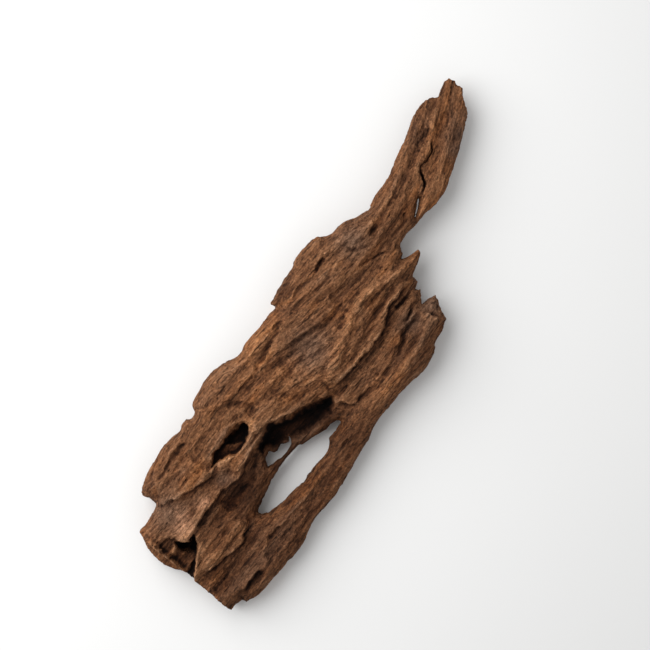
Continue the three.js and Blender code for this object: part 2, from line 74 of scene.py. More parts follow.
# The edges, in mm and as shares of what there is further in
EDGE_THICKNESS = 9
EDGE_REACH = 30  # how far in from the outline the wood gets its full thickness
LEAST_RELIEF = 0.25  # at the outline
LEAST_WEAR = 0.35

# What is left between the face and the back: in mm, and as a share of the full thickness
LEAST_THICKNESS = 7
LEAST_THICKNESS_SHARE = 0.6

# The face is eased down from the first height, so that it stays under the second
EASED_FROM = 84
HIGHEST_FACE = 96

# Points on a curve for each point that it goes through, and how close corners may be in mm
OUTLINE_DENSITY = 4
LINE_DENSITY = 3
CLOSEST_CORNERS = 1

# The outline clockwise from the tip, in stretches of plan points. A round one is a smooth curve.
SAWN_STRETCH = "sawn end and the back layer past it"
OUTLINE = (
    ("jagged tip", False, ((445, 81), (449, 77.5), (454, 80), (458, 86), (462.5, 87), (464, 99))),
    ("right side of the paddle", True, (
        (464, 99), (468, 112), (466.5, 123), (460, 148), (453, 170), (448, 188), (438, 203),
        (426, 213), (417, 224))),
    ("inside of the fork", True, (
        (415, 226), (408, 233), (402, 241), (400, 247), (402, 254), (401, 259))),
    ("broken spikes", False, (
        (405, 258), (412, 254), (418, 250), (421, 253), (418, 264), (412, 277), (415, 278),
        (417, 283), (415, 289), (420, 290), (421.5, 298), (422, 304), (428, 299), (435.5, 293.5),
        (438, 300), (442, 311), (447, 319))),
    ("broken right edge below the flap", False, (
        (447, 319), (444.8, 323.6), (442.6, 330.6), (439, 336.3), (435.6, 343.4), (435.7, 347.5))),
    ("right side of the trunk and the arm", True, (
        (435.7, 347.5), (434, 353), (430.8, 360), (424.4, 370), (411, 382.5), (395, 399),
        (376, 424), (368, 441), (353, 466), (341, 487), (327, 506), (315, 520), (306, 538),
        (296, 554), (286, 564), (264, 591), (246, 603))),
    ("notch beside the heel", False, ((241.5, 600), (236, 605), (231, 611))),
    (SAWN_STRETCH, False, (
        (189, 574), (175, 570.5), (163, 565.5), (152, 556), (147, 549), (143, 541), (140, 530.5))),
    ("left side of the heel", False, (
        (140, 530.5), (145, 524), (150, 517), (155, 508), (156, 503), (150, 498), (144, 496),
        (141, 492.5), (142, 487))),
    ("left side of the lower trunk", True, (
        (142, 487), (148, 472), (155, 460), (165, 444), (180, 430))),
    ("steps in the left side", False, (
        (182, 424), (186, 419), (192, 418), (195, 412), (192, 405), (194, 399))),
    ("left side of the middle trunk", True, (
        (194, 399), (208, 378), (219, 367), (238, 355), (245, 343), (259, 326), (271, 312))),
    ("end of the left flake", False, ((276, 308), (271, 306), (271, 303))),
    ("left side of the upper trunk", True, (
        (271, 303), (280, 287), (291, 270), (297, 257), (310, 242), (317, 236.5))),
    ("left side of the neck", True, (
        (324, 237), (332, 233), (342, 223), (355, 218), (368, 210), (377, 193), (388, 176),
        (395, 159), (405, 138), (412, 118), (419, 107), (430, 98))),
    ("shoulder of the tip", False, ((438, 96), (442, 88))),
)

# The wood doesn't thin towards the saw cut, so its edges round off as if it ran on past the cut
UNCUT_END = (SAWN_STRETCH, False, ((231, 611), (217, 637), (126, 557), (140, 530.5)))

# The holes right through the wood
HOLES = (
    ("long hole", False, (
        (257.3, 511.2), (258.3, 514.4), (263.4, 514.7), (270.4, 511.8), (276.8, 507.3),
        (284.4, 501), (290.8, 494), (298.5, 486.6), (304.2, 481.8), (307.4, 475.5), (313.8, 467.2),
        (323.3, 457.6), (327.5, 451.9), (329.5, 446), (329.7, 442.3), (328.7, 439), (331.6, 435.3),
        (336.1, 430.8), (337.7, 426.4), (340.9, 423.2), (339.9, 420.3), (336.1, 421),
        (330.3, 424.5), (326.5, 429.6), (313.8, 436.9), (302, 445), (298.5, 445), (290.2, 453.8),
        (286.2, 458.2), (283, 462.6), (278.7, 468.5), (276.1, 473.6), (271, 481.2), (267.2, 490.1),
        (260.2, 505.4))),
    ("small hole", False, (
        (267.5, 467.5), (265.5, 461.4), (266.3, 456.3), (268.8, 451.2), (274.5, 453.2),
        (277.4, 450.6), (280.6, 443.9), (284.4, 444.2), (289, 441.9), (288, 436), (290.8, 438.5),
        (291.5, 444.2), (288.3, 449.8), (285, 454), (281.6, 457.8), (277.4, 460.3),
        (274.2, 463.2))),
    ("gap in the paddle's split", False, (
        (417.6, 198), (419.4, 198.5), (418.0, 208), (415.4, 218), (414.2, 217.5), (416.2, 208))),
)

# The body of the wood at some plan points: the height of its middle, and its thickness
BODY_REACH = 46
BODY_SPOTS = (
    ((155, 535), 44, 76), ((165, 495), 46, 80), ((190, 520), 44, 80), ((225, 595), 31, 50),
    ((268, 562), 31, 52), ((225, 545), 36, 62), ((205, 425), 49, 84), ((235, 455), 44, 80),
    ((262, 400), 48, 88), ((255, 350), 53, 62), ((320, 335), 49, 90), ((300, 265), 56, 46),
    ((345, 270), 51, 78), ((385, 245), 50, 66), ((403, 190), 49, 46), ((432, 150), 43, 30),
    ((443, 112), 39, 23), ((451, 86), 38, 15), ((430, 312), 43, 42), ((405, 345), 41, 62),
    ((370, 400), 37, 58), ((348, 452), 35, 48), ((318, 495), 34, 46), ((288, 540), 32, 48),
    ((312, 430), 22, 24), ((272, 474), 27, 28), ((238, 494), 27, 40),
)

# The way the grain runs, as a turn up from the plan's u axis in degrees
GRAIN_REACH = 55
GRAIN_SPOTS = (
    ((170, 510), 44), ((190, 450), 54), ((230, 550), 50), ((245, 590), 58), ((232, 440), 52),
    ((255, 360), 44), ((300, 380), 34), ((310, 300), 42), ((350, 340), 44), ((360, 260), 46),
    ((395, 215), 57), ((420, 160), 68), ((448, 105), 76), ((410, 310), 56), ((405, 360), 58),
    ((370, 420), 60), ((330, 485), 54), ((285, 545), 52),
)

# Ledges: rise and fade in mm. The wood is higher on the left-hand side of each line, and the rise
# dies out over the fade.
LEDGE_SLOPE = 2  # mm from the line to its full rise
LEDGE_ENDS = (-0.02, 0.12)  # shares of its length between which an end comes to its full rise
LEDGES = (
    ("lower edge of the shoulder plate", 9, 75, (
        (155, 503), (166, 504), (172, 498), (186, 493), (199, 485), (210, 477), (216, 468))),
    ("right edge of the heel slab", 9, 34, (
        (190, 538), (195, 532), (203, 518), (212, 503), (219, 495), (229, 487), (242, 474),
        (247, 463), (252, 451), (259, 436))),
    ("right edge of the tongue", 9, 34, (
        (201, 570), (210, 569), (219, 563), (224, 557), (230, 553), (237, 549), (242, 542),
        (244, 534), (247, 526), (249, 518))),
    ("lip over the recess", 9, 38, (
        (256, 433), (268, 422), (288, 414), (301, 408), (315, 401), (331, 393))),
    ("lower edge of the flank", 7, 26, (
        (324, 413), (331, 408), (338, 404), (348, 403), (358, 405))),
    ("edge over the flank", 9, 34, (
        (332, 391), (345, 377), (356, 364), (367, 352), (377, 339), (384, 326), (390, 308),
        (400, 293), (412, 278))),
    ("overlap on the upper trunk", 4, 20, (
        (283, 316), (292, 300), (300, 286), (311, 277), (318, 262), (330, 255))),
    ("upper trunk plate", 5, 26, ((322, 262), (336, 247), (356, 235), (371, 229), (376, 218))),
    ("left strip", 5, 18, ((236, 374), (249, 360), (266, 340), (280, 320))),
    ("behind the grey flap", 9, 40, ((441, 320), (430, 314), (424, 305))),
    ("arm plate", 5, 26, ((258, 556), (278, 528), (298, 506), (318, 482), (338, 455), (352, 430))),
    ("heel edge", 5, 24, ((236, 604), (242, 590), (252, 578), (264, 567), (272, 556))),
)

# Plates: raised all over inside an outline, by this much in mm
PLATE_SLOPE = 3  # mm in from the outline to the full rise
PLATES = (
    ("patch beside the pit", 3.5, (
        (217, 465), (228, 457), (236, 452), (240, 457), (246, 462), (242, 470), (236, 471),
        (228, 470), (222, 473))),
    ("finger", 3, (
        (173, 530), (180, 533), (184, 538), (189, 539), (193, 534), (197, 529), (201, 521),
        (206, 511), (208, 501), (203, 497), (198, 506), (193, 515), (186, 519), (179, 523))),
)

# Ridges and grooves: half width and height in mm. The height is negative for a groove.
STROKE_ENDS = (-0.06, 0.14)  # shares of its length between which an end comes to its full height
STROKES = (
    ("groove below the flank's edge", 15, -5, (
        (414, 281), (404, 294), (394, 310), (388, 328), (380, 342), (370, 356), (348, 379),
        (334, 394))),
    ("slit beside the left strip", 7, -4.5, (
        (284, 317), (279, 327), (277, 332), (271, 343), (269, 348), (264, 357), (259, 366),
        (257, 373))),
    ("notch above the left strip", 4, -6, ((271, 309), (279, 312), (287, 309))),
    ("line over the grey trough", 8, -3.5, (
        (354, 298), (340, 308), (326, 321), (308, 333), (288, 345))),
    ("line under the grey trough", 8, -3, (
        (343, 334), (330, 347), (312, 356), (294, 366), (280, 380))),
    ("upper slot", 5, -4, ((324, 255), (319, 262), (315, 272))),
    ("slot beside the neck's ridge", 5, -4, ((348, 251), (358, 250), (368, 246))),
    ("neck shadow", 10, -4, ((382, 212), (377, 224), (372, 236), (369, 249))),
    ("crease over the pit", 9, -4, ((229, 405), (239, 402), (249, 406), (257, 415))),
    ("gutter beside the pit", 13, -5, ((240, 414), (226, 424), (216, 440), (208, 456))),
    ("lower trunk line", 9, -3, ((228, 402), (208, 422), (192, 440), (180, 458), (168, 478))),
    ("outer layer line", 5, -9, ((182, 431), (169, 446), (158, 463), (151, 479))),
    ("inner layer line", 5, -6, ((186, 441), (173, 458), (161, 480))),
    ("rim of the pit", 5, 6, ((257, 421), (255, 428), (250, 437), (244, 446), (238, 453))),
    ("second rim", 5, 3, ((263, 429), (256, 441), (251, 453), (246, 464))),
    ("strand's rim", 5, 3, ((266, 472), (259, 490), (249, 505), (244, 517))),
    ("ridge down the tongue", 12, 4, ((238, 516), (232, 534), (218, 552), (206, 564))),
    ("thin wall beside the cave", 5, 7, ((199, 542), (198, 556), (195, 568), (194, 577))),
    ("rim of the saw cut", 8, 9, ((148, 538), (162, 550), (175, 561), (186, 570))),
    ("first rib", 4, 3, ((159, 551), (167, 542), (176, 534))),
    ("second rib", 4, 3, ((167, 557), (175, 547), (184, 539))),
    ("third rib", 4, 2.5, ((176, 563), (184, 552), (191, 543))),
    ("bright ridge", 13, 10, (
        (414, 259), (401, 268), (377, 286), (357, 307), (347, 326), (338, 350), (328, 378))),
    ("grey trough", 22, -7, ((350, 308), (334, 323), (300, 350), (278, 368))),
    ("ridge down from the neck", 10, 6, (
        (397, 178), (390, 195), (383, 208), (374, 224), (362, 234), (345, 241), (326, 258))),
    ("crevice below the fork", 4, -4, ((358, 267), (368, 262), (376, 256), (393, 252))),
    ("slit behind the left flake", 7, -10, ((275, 305), (281, 293), (288, 280), (294, 268))),
    ("neck groove", 8, -6, ((408, 213), (398, 232), (386, 250))),
    ("flank groove", 8, -6, ((421, 306), (412, 322), (405, 334), (402, 344), (394, 356))),
    ("lower flank groove", 9, -5, ((398, 352), (392, 366), (378, 384), (362, 398), (350, 402))),
    ("gap between the spikes", 5, -7, ((416, 279), (410, 290), (403, 300), (396, 309))),
    ("second gap between the spikes", 4, -6, ((420, 296), (414, 303), (410, 312), (404, 322))),
    ("right slope of the bright ridge", 10, -5, (
        (396, 284), (384, 300), (372, 322), (362, 344), (346, 366))),
    ("trough below the fork", 16, -5, ((384, 262), (366, 276), (346, 290), (330, 302))),
    ("flake line over the middle", 5, -3, ((334, 268), (322, 284), (306, 298), (292, 312))),
    ("flank ridge", 11, 5, ((430, 318), (420, 340), (407, 362), (388, 388), (366, 416))),
    ("heel groove", 9, -11, ((243, 603), (247, 589), (256, 579), (266, 570))),
    ("heel valley", 20, -6, ((254, 528), (242, 556), (226, 580), (212, 592))),
    ("arm flank groove", 9, -5, ((292, 548), (312, 514), (336, 480), (358, 444))),
    ("hairline above the paddle's crack", 2.6, -6, (
        (433.5, 139), (431, 149), (428, 157), (423.5, 163), (420, 168), (420, 174))),
    ("paddle crack", 3, -11, (
        (420, 172), (423, 178), (424.5, 184), (422.5, 191), (419.5, 198), (416, 209), (413.5, 221))),
    ("paddle pit", 11, -3.5, ((426, 129), (422, 145))),
    ("left side of the paddle pit", 3.5, -4, ((422, 130), (419, 137), (418, 147))),
    ("paddle seam", 7, -2.5, ((445, 102), (442, 122), (436, 140))),
    ("paddle ridge", 9, 3, ((437, 108), (434, 122), (426, 150), (412, 178))),
    ("right edge of the paddle", 11, -5, ((460, 122), (453, 150), (446, 178))),
)

# Basins: the height of a floor inside an outline, and the width of its steep wall, in mm
WALL_OUTSIDE = 0.3  # the wall starts this share of its width outside the outline
BASINS = (
    ("pit", 57, 13, (
        (211, 466), (213, 457), (219, 445), (227, 432), (232, 425), (241, 421), (248, 423),
        (250, 430), (247, 439), (237, 450), (228, 456), (219, 462))),
    ("bottom of the pit", 42, 7, (
        (224, 447), (230, 436), (236, 427), (244, 422), (250, 426), (249, 433), (243, 440),
        (234, 446))),
    ("lower end of the pit", 54, 5, (
        (212, 466), (213, 458), (218, 449), (225, 440), (232, 431), (245, 432), (245, 440),
        (241, 448), (235, 453), (226, 458))),
    ("recess under the lip", 24, 13, (
        (257, 450), (262, 431), (270, 422), (289, 415), (301, 409), (315, 402), (331, 394),
        (335, 404), (332, 413), (322, 424), (308, 434), (294, 440), (281, 444), (270, 450),
        (264, 456))),
    ("valley beside the holes", 50, 20, (
        (199, 531), (204, 520), (213, 505), (220, 497), (229, 490), (243, 477), (248, 465),
        (253, 454), (259, 440), (266, 452), (264, 462), (263, 480), (259, 489), (250, 501),
        (242, 510), (233, 513), (225, 511), (219, 506), (211, 513), (204, 525))),
    ("shelf in the sawn end", 68, 9, (
        (156, 545), (161, 541), (166, 536), (172, 534), (178, 535), (182, 538), (189, 540),
        (194, 533), (199, 530), (200, 545), (198, 558), (195, 570), (191, 580), (182, 578))),
    ("deep side of the shelf", 55, 9, (
        (170, 557), (175, 547), (181, 539), (189, 541), (197, 533), (200, 545), (198, 558),
        (195, 570), (191, 580), (182, 573))),
    ("cave in the sawn end", 40, 6, (
        (176, 541), (183, 540), (190, 541), (197, 533), (199, 543), (197, 552), (190, 553),
        (181, 550))),
    ("gap in the saw cut", 46, 5, (
        (186, 569), (190, 562), (195, 556), (196, 566), (194, 580), (186, 580))),
)

# Hollows worn in under an edge: squashed balls, with their height, their half sizes along, across
# and up, and the turn of their length up from the plan's u axis in degrees
HOLLOW_MARGIN = 3 * STEP
WORN_HOLLOWS = (
    ("under the lip", (291, 420), 54, (62, 20, 13), 27),
    ("under the pit's upper end", (240, 429), 52, (26, 12, 13), 48),
    ("cave", (190, 545), 40, (30, 13, 12), 50),
)

# The underside: a long hollow, seams along the grain, and four feet that the wood rests on. A
# height is up into the wood, and a foot has its reach and how far down it comes.
BACK_STROKES = (
    ("long hollow", 52, 17, ((205, 520), (262, 430), (318, 350), (372, 262))),
    ("left seam", 10, 9, ((188, 470), (232, 392), (276, 336), (312, 280))),
    ("right seam", 11, 10, ((330, 440), (362, 385), (396, 338), (408, 300))),
    ("heel seam", 10, 9, ((205, 575), (232, 540), (250, 512))),
    ("neck seam", 9, 7, ((366, 250), (394, 214), (410, 172), (428, 128))),
    ("spine", 15, -9, ((225, 500), (282, 418), (330, 338), (360, 300))),
)
FOOT_STRETCH = 1.7  # how much longer a foot is along the wood than across
FOOT_FLAT = 0.3  # share of its reach that comes all the way down
FEET = (
    ("left heel", (170, 520), 50, 20),
    ("right heel", (262, 572), 46, 21),
    ("left shoulder", (293, 320), 58, 34),
    ("right shoulder", (410, 347), 50, 25),
)

# The layer that shows past the saw cut
BACK_LAYER_TOP = 34  # mm
SAW_LINE = ((231, 611), (140.5, 532))

# What turns a grid point and a seed into a fixed number that looks like chance
GRID_FACTORS = (374761393, 668265263, 2246822519)
SEED_FACTOR = 1442695041
SCRAMBLE_FACTOR = 1274126177
FIRST_SHIFT = 13
SECOND_SHIFT = 16

BLUR_PASSES = 3
LEAST_WEIGHT = 1e-12  # of a spot that is far away
TINY = 1e-9  # the least that anything is divided by

# The lines of the relief wander: seeds, size and how far
WANDERING = ((21, 22, 16, 3.2), (23, 24, 6, 1.2))
WANDER = sum(far for _, _, _, far in WANDERING)

# Long streaks of relief that follow the grain: seed, size and height. Each is averaged over so
# many steps both ways along the grain, with this share of its size as the stride.
STREAKS = ((3, 24, 4), (8, 13, 1.8))
STREAK_STEPS = 9
LONG_STREAK_STEPS = 15
STREAK_STRIDE = 0.9

# Split layers: seed, size of the streaks that they follow, height of a step, and how many there are
LAYERS = ((31, 20, 1.3, 1.5), (35, 11, 0.8, 1.4))
STEPPED_SHARE = 0.75  # of a layer's height, and the rest is smooth
STEP_SOFTNESS = 0.12

# Thin splits where the grain has opened: seed, size, depth and width
SPLITS = ((41, 15, 1.8, 0.13), (44, 8, 1.3, 0.16), (47, 5, 1.0, 0.22))
OPENED_SIZE = (55, 40)  # mm, of the patches of noise where it has opened
OPENED_RANGE = (-0.9, 0.6)  # values of that noise between which the splits open fully
BACK_SHIFT = 100  # what the back's seeds are moved by

# Layers that show in the sides: seed, size along the wood, height, and depth in mm
SIDE_LAYERS = ((51, 60, 9, 1.9), (52, 26, 4, 0.9))
LAYER_GONE = (0.05, 0.4)  # values of its noise between which a layer goes
SIDE_REACH = 7  # mm from the outline that the layers reach
EDGE_ALLOWANCE = 0.4  # mm past the outline, which the fibres take off again

# The outline is frayed by fibres that end there: seed, size across the grain and depth
FRAY = (71, 5, 0.8)
MOST_FRAYED = 1.6  # mm

# Where the pieces part: plan outlines that cross the wood only at the forks
BRANCH_BLOCK = (
    (352, 214), (403, 257), (408, 245), (440, 228), (520, 150), (480, 40), (400, 40), (320, 180))
ARM_BLOCK = (
    (338, 419), (374, 434), (420, 440), (360, 580), (309, 541), (264, 512.5), (285, 480),
    (318, 445))
TRUNK_CUTS = (-262, -38)  # mm along the wood, where the trunk's mesh is parted to keep it light

# The pieces, from the sawn end: the solid that each one stands for, and its block
PIECES = (
    ("trunk_lower", "trunk", None),
    ("trunk_middle", "trunk", None),
    ("trunk_upper", "trunk", None),
    ("upper_branch_wood", "upper_branch", BRANCH_BLOCK),
    ("side_arm_wood", "side_arm", ARM_BLOCK),
)

# Colours, from the darkest grain and painted groove shade to the worn ridges, which are lighter
# from wear and from painted light, and where they lie on the ridge value
RAMP_PLACES = (0.15, 0.38, 0.55, 0.75, 0.95)
WOOD_COLOURS = (
    (0.024, 0.010, 0.005), (0.072, 0.029, 0.013), (0.125, 0.053, 0.023), (0.190, 0.087, 0.040),
    (0.280, 0.140, 0.070))
WARM_COLOURS = (
    (0.032, 0.010, 0.004), (0.096, 0.032, 0.010), (0.170, 0.061, 0.019), (0.255, 0.104, 0.036),
    (0.350, 0.160, 0.062))
GREY_COLOURS = (
    (0.026, 0.014, 0.009), (0.066, 0.037, 0.024), (0.108, 0.063, 0.041), (0.160, 0.099, 0.067),
    (0.230, 0.152, 0.107))
PALE_WOOD = (0.36, 0.185, 0.105)
WARM_SHARE = 0.8  # how much of a patch's colour shows in the middle of it
GREY_SHARE = 0.7

# Where the wood is orange, grey or pale: plan places and how far each patch reaches in mm
WARM_PATCHES = (
    ((226, 462), 22), ((250, 350), 26), ((262, 330), 24), ((280, 372), 30), ((240, 392), 26),
    ((415, 262), 18), ((238, 535), 20), ((214, 560), 20), ((345, 320), 18), ((372, 306), 18),
    ((430, 205), 16), ((385, 375), 24), ((400, 330), 20), ((440, 165), 22), ((318, 390), 26),
    ((200, 470), 20), ((336, 352), 18))
GREY_PATCHES = (
    ((172, 510), 24), ((430, 305), 16), ((310, 348), 26), ((352, 242), 20), ((460, 135), 14),
    ((411, 323), 16), ((225, 478), 12), ((456, 150), 14))
PALE_PATCHES = (((186, 524), 11), ((205, 500), 9), ((182, 512), 8))
PATCHES = (("warm", WARM_PATCHES), ("grey", GREY_PATCHES), ("pale", PALE_PATCHES))

# Painted shade and light: the colour is darkened for shadow in recesses, under edges and on sides
# turned from the lamp, and lightened as painted highlights on lit crests and strips, with a few
# patches of the wood's own tone: plan place, reach in mm, and how bright it is there
PAINTED_SHADING_PATCHES = (
    ((320, 490), 44, 0.60), ((285, 548), 40, 0.62), ((235, 588), 40, 0.58), ((352, 440), 40, 0.58),
    ((415, 345), 34, 0.72), ((240, 404), 16, 0.75), ((300, 430), 26, 0.46), ((325, 413), 22, 0.50),
    ((380, 235), 16, 0.72), ((276, 452), 26, 0.30), ((244, 492), 32, 0.25), ((218, 520), 22, 0.66),
    ((257, 462), 16, 0.75), ((281, 294), 12, 0.60), ((308, 414), 17, 0.35), ((323, 405), 16, 0.35),
    ((242, 430), 9, 0.45), ((192, 549), 12, 0.60), ((225, 442), 12, 0.65), ((279, 443), 9, 0.15),
    ((444, 326), 7, 0.65), ((413, 222), 8, 0.60), ((250, 537), 9, 0.72), ((241, 555), 8, 0.75),
    ((460, 140), 14, 0.75), ((435, 92), 14, 0.85), ((395, 325), 26, 0.82), ((400, 215), 16, 0.78),
    ((316, 330), 22, 0.90), ((300, 290), 30, 0.94), ((225, 540), 20, 0.92), ((258, 338), 18, 1.22),
    ((248, 354), 18, 1.15), ((231, 463), 13, 1.36), ((330, 384), 20, 1.18), ((262, 392), 30, 1.10),
    ((345, 318), 12, 1.28), ((372, 290), 12, 1.22), ((336, 352), 12, 1.22), ((300, 372), 22, 1.10),
    ((392, 205), 12, 1.10), ((341, 340), 8, 1.12), ((358, 304), 8, 1.12), ((330, 368), 8, 1.12),
    ((386, 316), 14, 0.88), ((185, 528), 10, 1.08), ((170, 508), 20, 0.90))

# Fibres raised on every surface: seed, size across, length along, height
FIBRES = ((61, 5.5, 60, 0.45), (64, 3.2, 30, 0.55), (67, 2.2, 9, 0.5))
HIGHEST_FIBRE = 0.6  # the fibres are cut off at this height, and the surface lies that much lower
LEAST_FIBRE_STEPS = 3
LEAST_FIBRE_SHARE = 0.35  # of their height, which the fibres keep where they are worn flat
FIBRES_FLATTEN = (30, 8)  # mm below the plain face: worn flat at the first, and whole at the second

# What the colour and its painted shade read from the shape: how far it stands out of its
# surroundings within two reaches in mm, and how deep it lies in wide hollows
RELIEF_READS = (("fine", 4), ("broad", 16))
DEEP_REACH = 40
FACE_MARGIN = 3  # mm from the wood's middle height to where the looks are the face's or the back's
READ_LIMITS = (-4, 60)
READS = ("streak", "sunk", "deep", "shade", "fine", "broad", "warm", "grey", "pale")

# Noise on the fibres: features for each metre along and across them, detail and roughness
NOISES = {
    "thread": (26, 250, 4.0, 0.65),
    "dash": (85, 360, 3.0, 0.65),
    "speck": (260, 420, 3.0, 0.7),
    "grain": (110, 210, 4.0, 0.75),
    "crack": (30, 220, 2.0, 0.55),
    "cloud": (9, 24, 3.0, 0.55),
    "band": (14, 130, 3.0, 0.6),
    "warm cloud": (14, 46, 2.0, 0.5),
}

# What the ridge value, which picks the colour, and the bumps are added up from. In the ridge value
# the fine and broad relief add painted light on raised places and painted shade in sunk ones,
# beside the grain's own streaks.
RIDGE_START = -0.20
RIDGE_SHARES = (
    ("streak", 0.07), ("thread", 0.62), ("dash", 0.50), ("band", 0.32), ("fine", 0.25),
    ("broad", 0.26))
BUMP_SHARES = (
    ("speck", 0.5), ("thread", 0.8), ("dash", 0.6), ("grain", 1.6), ("crack depth", 0.5))

# Values moved from one range to another: what is read, its range, and what that becomes
SPREADS = {
    "patchy warmth": ("cloud", (0.35, 0.7), (0.0, 1.0)),
    "warm clouds": ("warm cloud", (0.52, 0.7), (0.0, 0.6)),
    "grey clouds": ("cloud", (0.5, 0.68), (0.0, 0.35)),
    "streaky pale": ("band", (0.35, 0.65), (0.2, 1.0)),
    "fine grit": ("speck", (0.3, 0.7), (0.46, 1.72)),
    "coarse grit": ("grain", (0.3, 0.7), (0.58, 1.48)),
    "cracks": ("crack", (0.33, 0.41), (0.40, 1.03)),
    # Painted shade: the colour darkened in fine grooves, in hollows sunk below the plain face, and in
    # places lower than their surroundings
    "grooves": ("fine", (-0.80, -0.15), (0.28, 1.0)),
    "hollows": ("sunk", (14, 55), (1.0, 0.50)),
    "low places": ("deep", (5, 28), (1.0, 0.62)),
    "roughness": ("ridge", (0.3, 0.9), (0.92, 0.7)),
    "crack depth": ("crack", (0.33, 0.42), (0.0, 1.0)),
}
GREEN_SHADE_POWER = 1.12  # the painted shade takes more green than red, and still more blue
BLUE_SHADE_POWER = 1.18
SPECULAR = 0.12
BUMP_STRENGTH = 0.9
BUMP_DISTANCE = 0.0012  # m

# The studio, in metres but for the lamp's plan place and the camera's sensor in mm
FLOOR_HALF = 6.0
FLOOR_COLOUR = (0.74, 0.74, 0.735, 1)
FLOOR_ROUGHNESS = 0.9
SKY_STRENGTH = 0.58
LAMP_PLACE = (-480, -60)
LAMP_HEIGHT = 1.55
LAMP_SIZE = 2.8
LAMP_WATTS = 70
SENSOR_WIDTH = 36
CAMERA_DISTANCE = 2.94  # above the height that the plan is seen at
VIEWED_HEIGHT = 0.045

COS = math.cos(LENGTH_TURN)
SIN = math.sin(LENGTH_TURN)


def to_part(points):
    """Plan points in the part's frame, in millimetres."""
    points = np.asarray(points, float).reshape(-1, 2)
    right = (points[:, 0] - PLAN_CENTRE[0]) * PLAN_MM
    up = (PLAN_CENTRE[1] - points[:, 1]) * PLAN_MM
    return np.stack([right * COS + up * SIN, up * COS - right * SIN], axis=1)


def smoothstep(value, low, high):
    t = np.clip((value - low) / (high - low), 0, 1)
    return t * t * (3 - 2 * t)


def lerp(a, b, t):
    return a + (b - a) * t


def bell(x, y, at, reach):
    """A weight that falls from 1 at a place to nothing a few reaches away."""
    px, py = at
    return np.exp(-((x - px) ** 2 + (y - py) ** 2) / (2 * reach * reach))


def even(values):
    """Values shifted and scaled to a mean of 0 and a spread of 1."""
    return (values - values.mean()) / values.std()


def spline(points, count):
    """A smooth curve through the points (Catmull-Rom), as evenly stepped points."""
    padded = np.concatenate([points[:1], points, points[-1:]])
    where = np.linspace(0, len(points) - 1, count)
    i = np.minimum(where.astype(int), len(points) - 2)
    t = (where - i)[:, None]
    p0, p1, p2, p3 = (padded[i + k] for k in range(4))
    v1 = (p2 - p0) / 2
    v2 = (p3 - p1) / 2
    curve = (2 * p1 - 2 * p2 + v1 + v2) * t**3 + (3 * p2 - 3 * p1 - 2 * v1 - v2) * t**2
    return curve + v1 * t + p1


def smooth_line(points, density):
    places = to_part(points)
    return spline(places, len(places) * density)


def stretch_points(stretch):
    _, is_round, points = stretch
    return smooth_line(points, OUTLINE_DENSITY) if is_round else to_part(points)


def join_stretches(stretches):
    """The corners of the stretches in turn, without any that nearly touch the one before."""
    corners = []
    for place in np.concatenate([stretch_points(s) for s in stretches]):
        if not corners or np.linalg.norm(corners[-1] - place) > CLOSEST_CORNERS:
            corners.append(place)
    return np.array(corners)


def nearest(line, x, y):
    """The nearest place on a line for each point: distance, side, and how far along it is."""
    best = np.full(x.shape, np.inf)
    side = np.ones(x.shape)
    along = np.zeros(x.shape)
    for i in range(len(line) - 1):
        dx, dy = line[i + 1] - line[i]
        ex = x - line[i][0]
        ey = y - line[i][1]
        t = np.clip((ex * dx + ey * dy) / (dx * dx + dy * dy), 0, 1)
        distance = np.hypot(ex - t * dx, ey - t * dy)
        closer = distance < best
        best = np.where(closer, distance, best)
        side = np.where(closer, np.where(dx * ey - dy * ex < 0, -1.0, 1.0), side)
        along = np.where(closer, (i + t) / (len(line) - 1), along)
    return best, side, along


def inset(corners, x, y):
    """Distance in from a closed outline, negative outside it."""
    distance = nearest(np.concatenate([corners, corners[:1]]), x, y)[0]
    inside = np.zeros(x.shape, bool)
    for a, b in zip(corners, np.roll(corners, -1, axis=0)):
        if a[1] != b[1]:
            crosses = (a[1] > y) != (b[1] > y)
            inside ^= crosses & (x < a[0] + (b[0] - a[0]) * (y - a[1]) / (b[1] - a[1]))
    return np.where(inside, distance, -distance)


def blend(places, values, reach, x, y):
    """A mean of the places' values, each weighted by how near it is."""
    total = np.zeros(x.shape)
    weight = np.zeros(x.shape)
    for at, value in zip(places, values):
        w = bell(x, y, at, reach) + LEAST_WEIGHT
        total += w * value
        weight += w
    return total / weight


def grid_number(i, j, k, seed):
    """A fixed number between -1 and 1 for each point of a grid."""
    h = np.uint32(seed * SEED_FACTOR % 2**32)
    for n, factor in zip((i, j, k), GRID_FACTORS):
        h = h + np.asarray(n).astype(np.int64).astype(np.uint32) * np.uint32(factor)
    h = (h ^ (h >> np.uint32(FIRST_SHIFT))) * np.uint32(SCRAMBLE_FACTOR)
    return (h ^ (h >> np.uint32(SECOND_SHIFT))).astype(float) / 2**31 - 1


def noise2(x, y, seed, layer=0):
    """Smooth noise over one layer of the grid."""
    i = np.floor(x)
    j = np.floor(y)
    a = smoothstep(x - i, 0, 1)
    b = smoothstep(y - j, 0, 1)
    low = lerp(grid_number(i, j, layer, seed), grid_number(i + 1, j, layer, seed), a)
    high = lerp(grid_number(i, j + 1, layer, seed), grid_number(i + 1, j + 1, layer, seed), a)
    return lerp(low, high, b)


def noise3(x, y, z, seed):
    """Smooth noise in space."""
    k = np.floor(z)
    return lerp(noise2(x, y, seed, k), noise2(x, y, seed, k + 1), smoothstep(z - k, 0, 1))


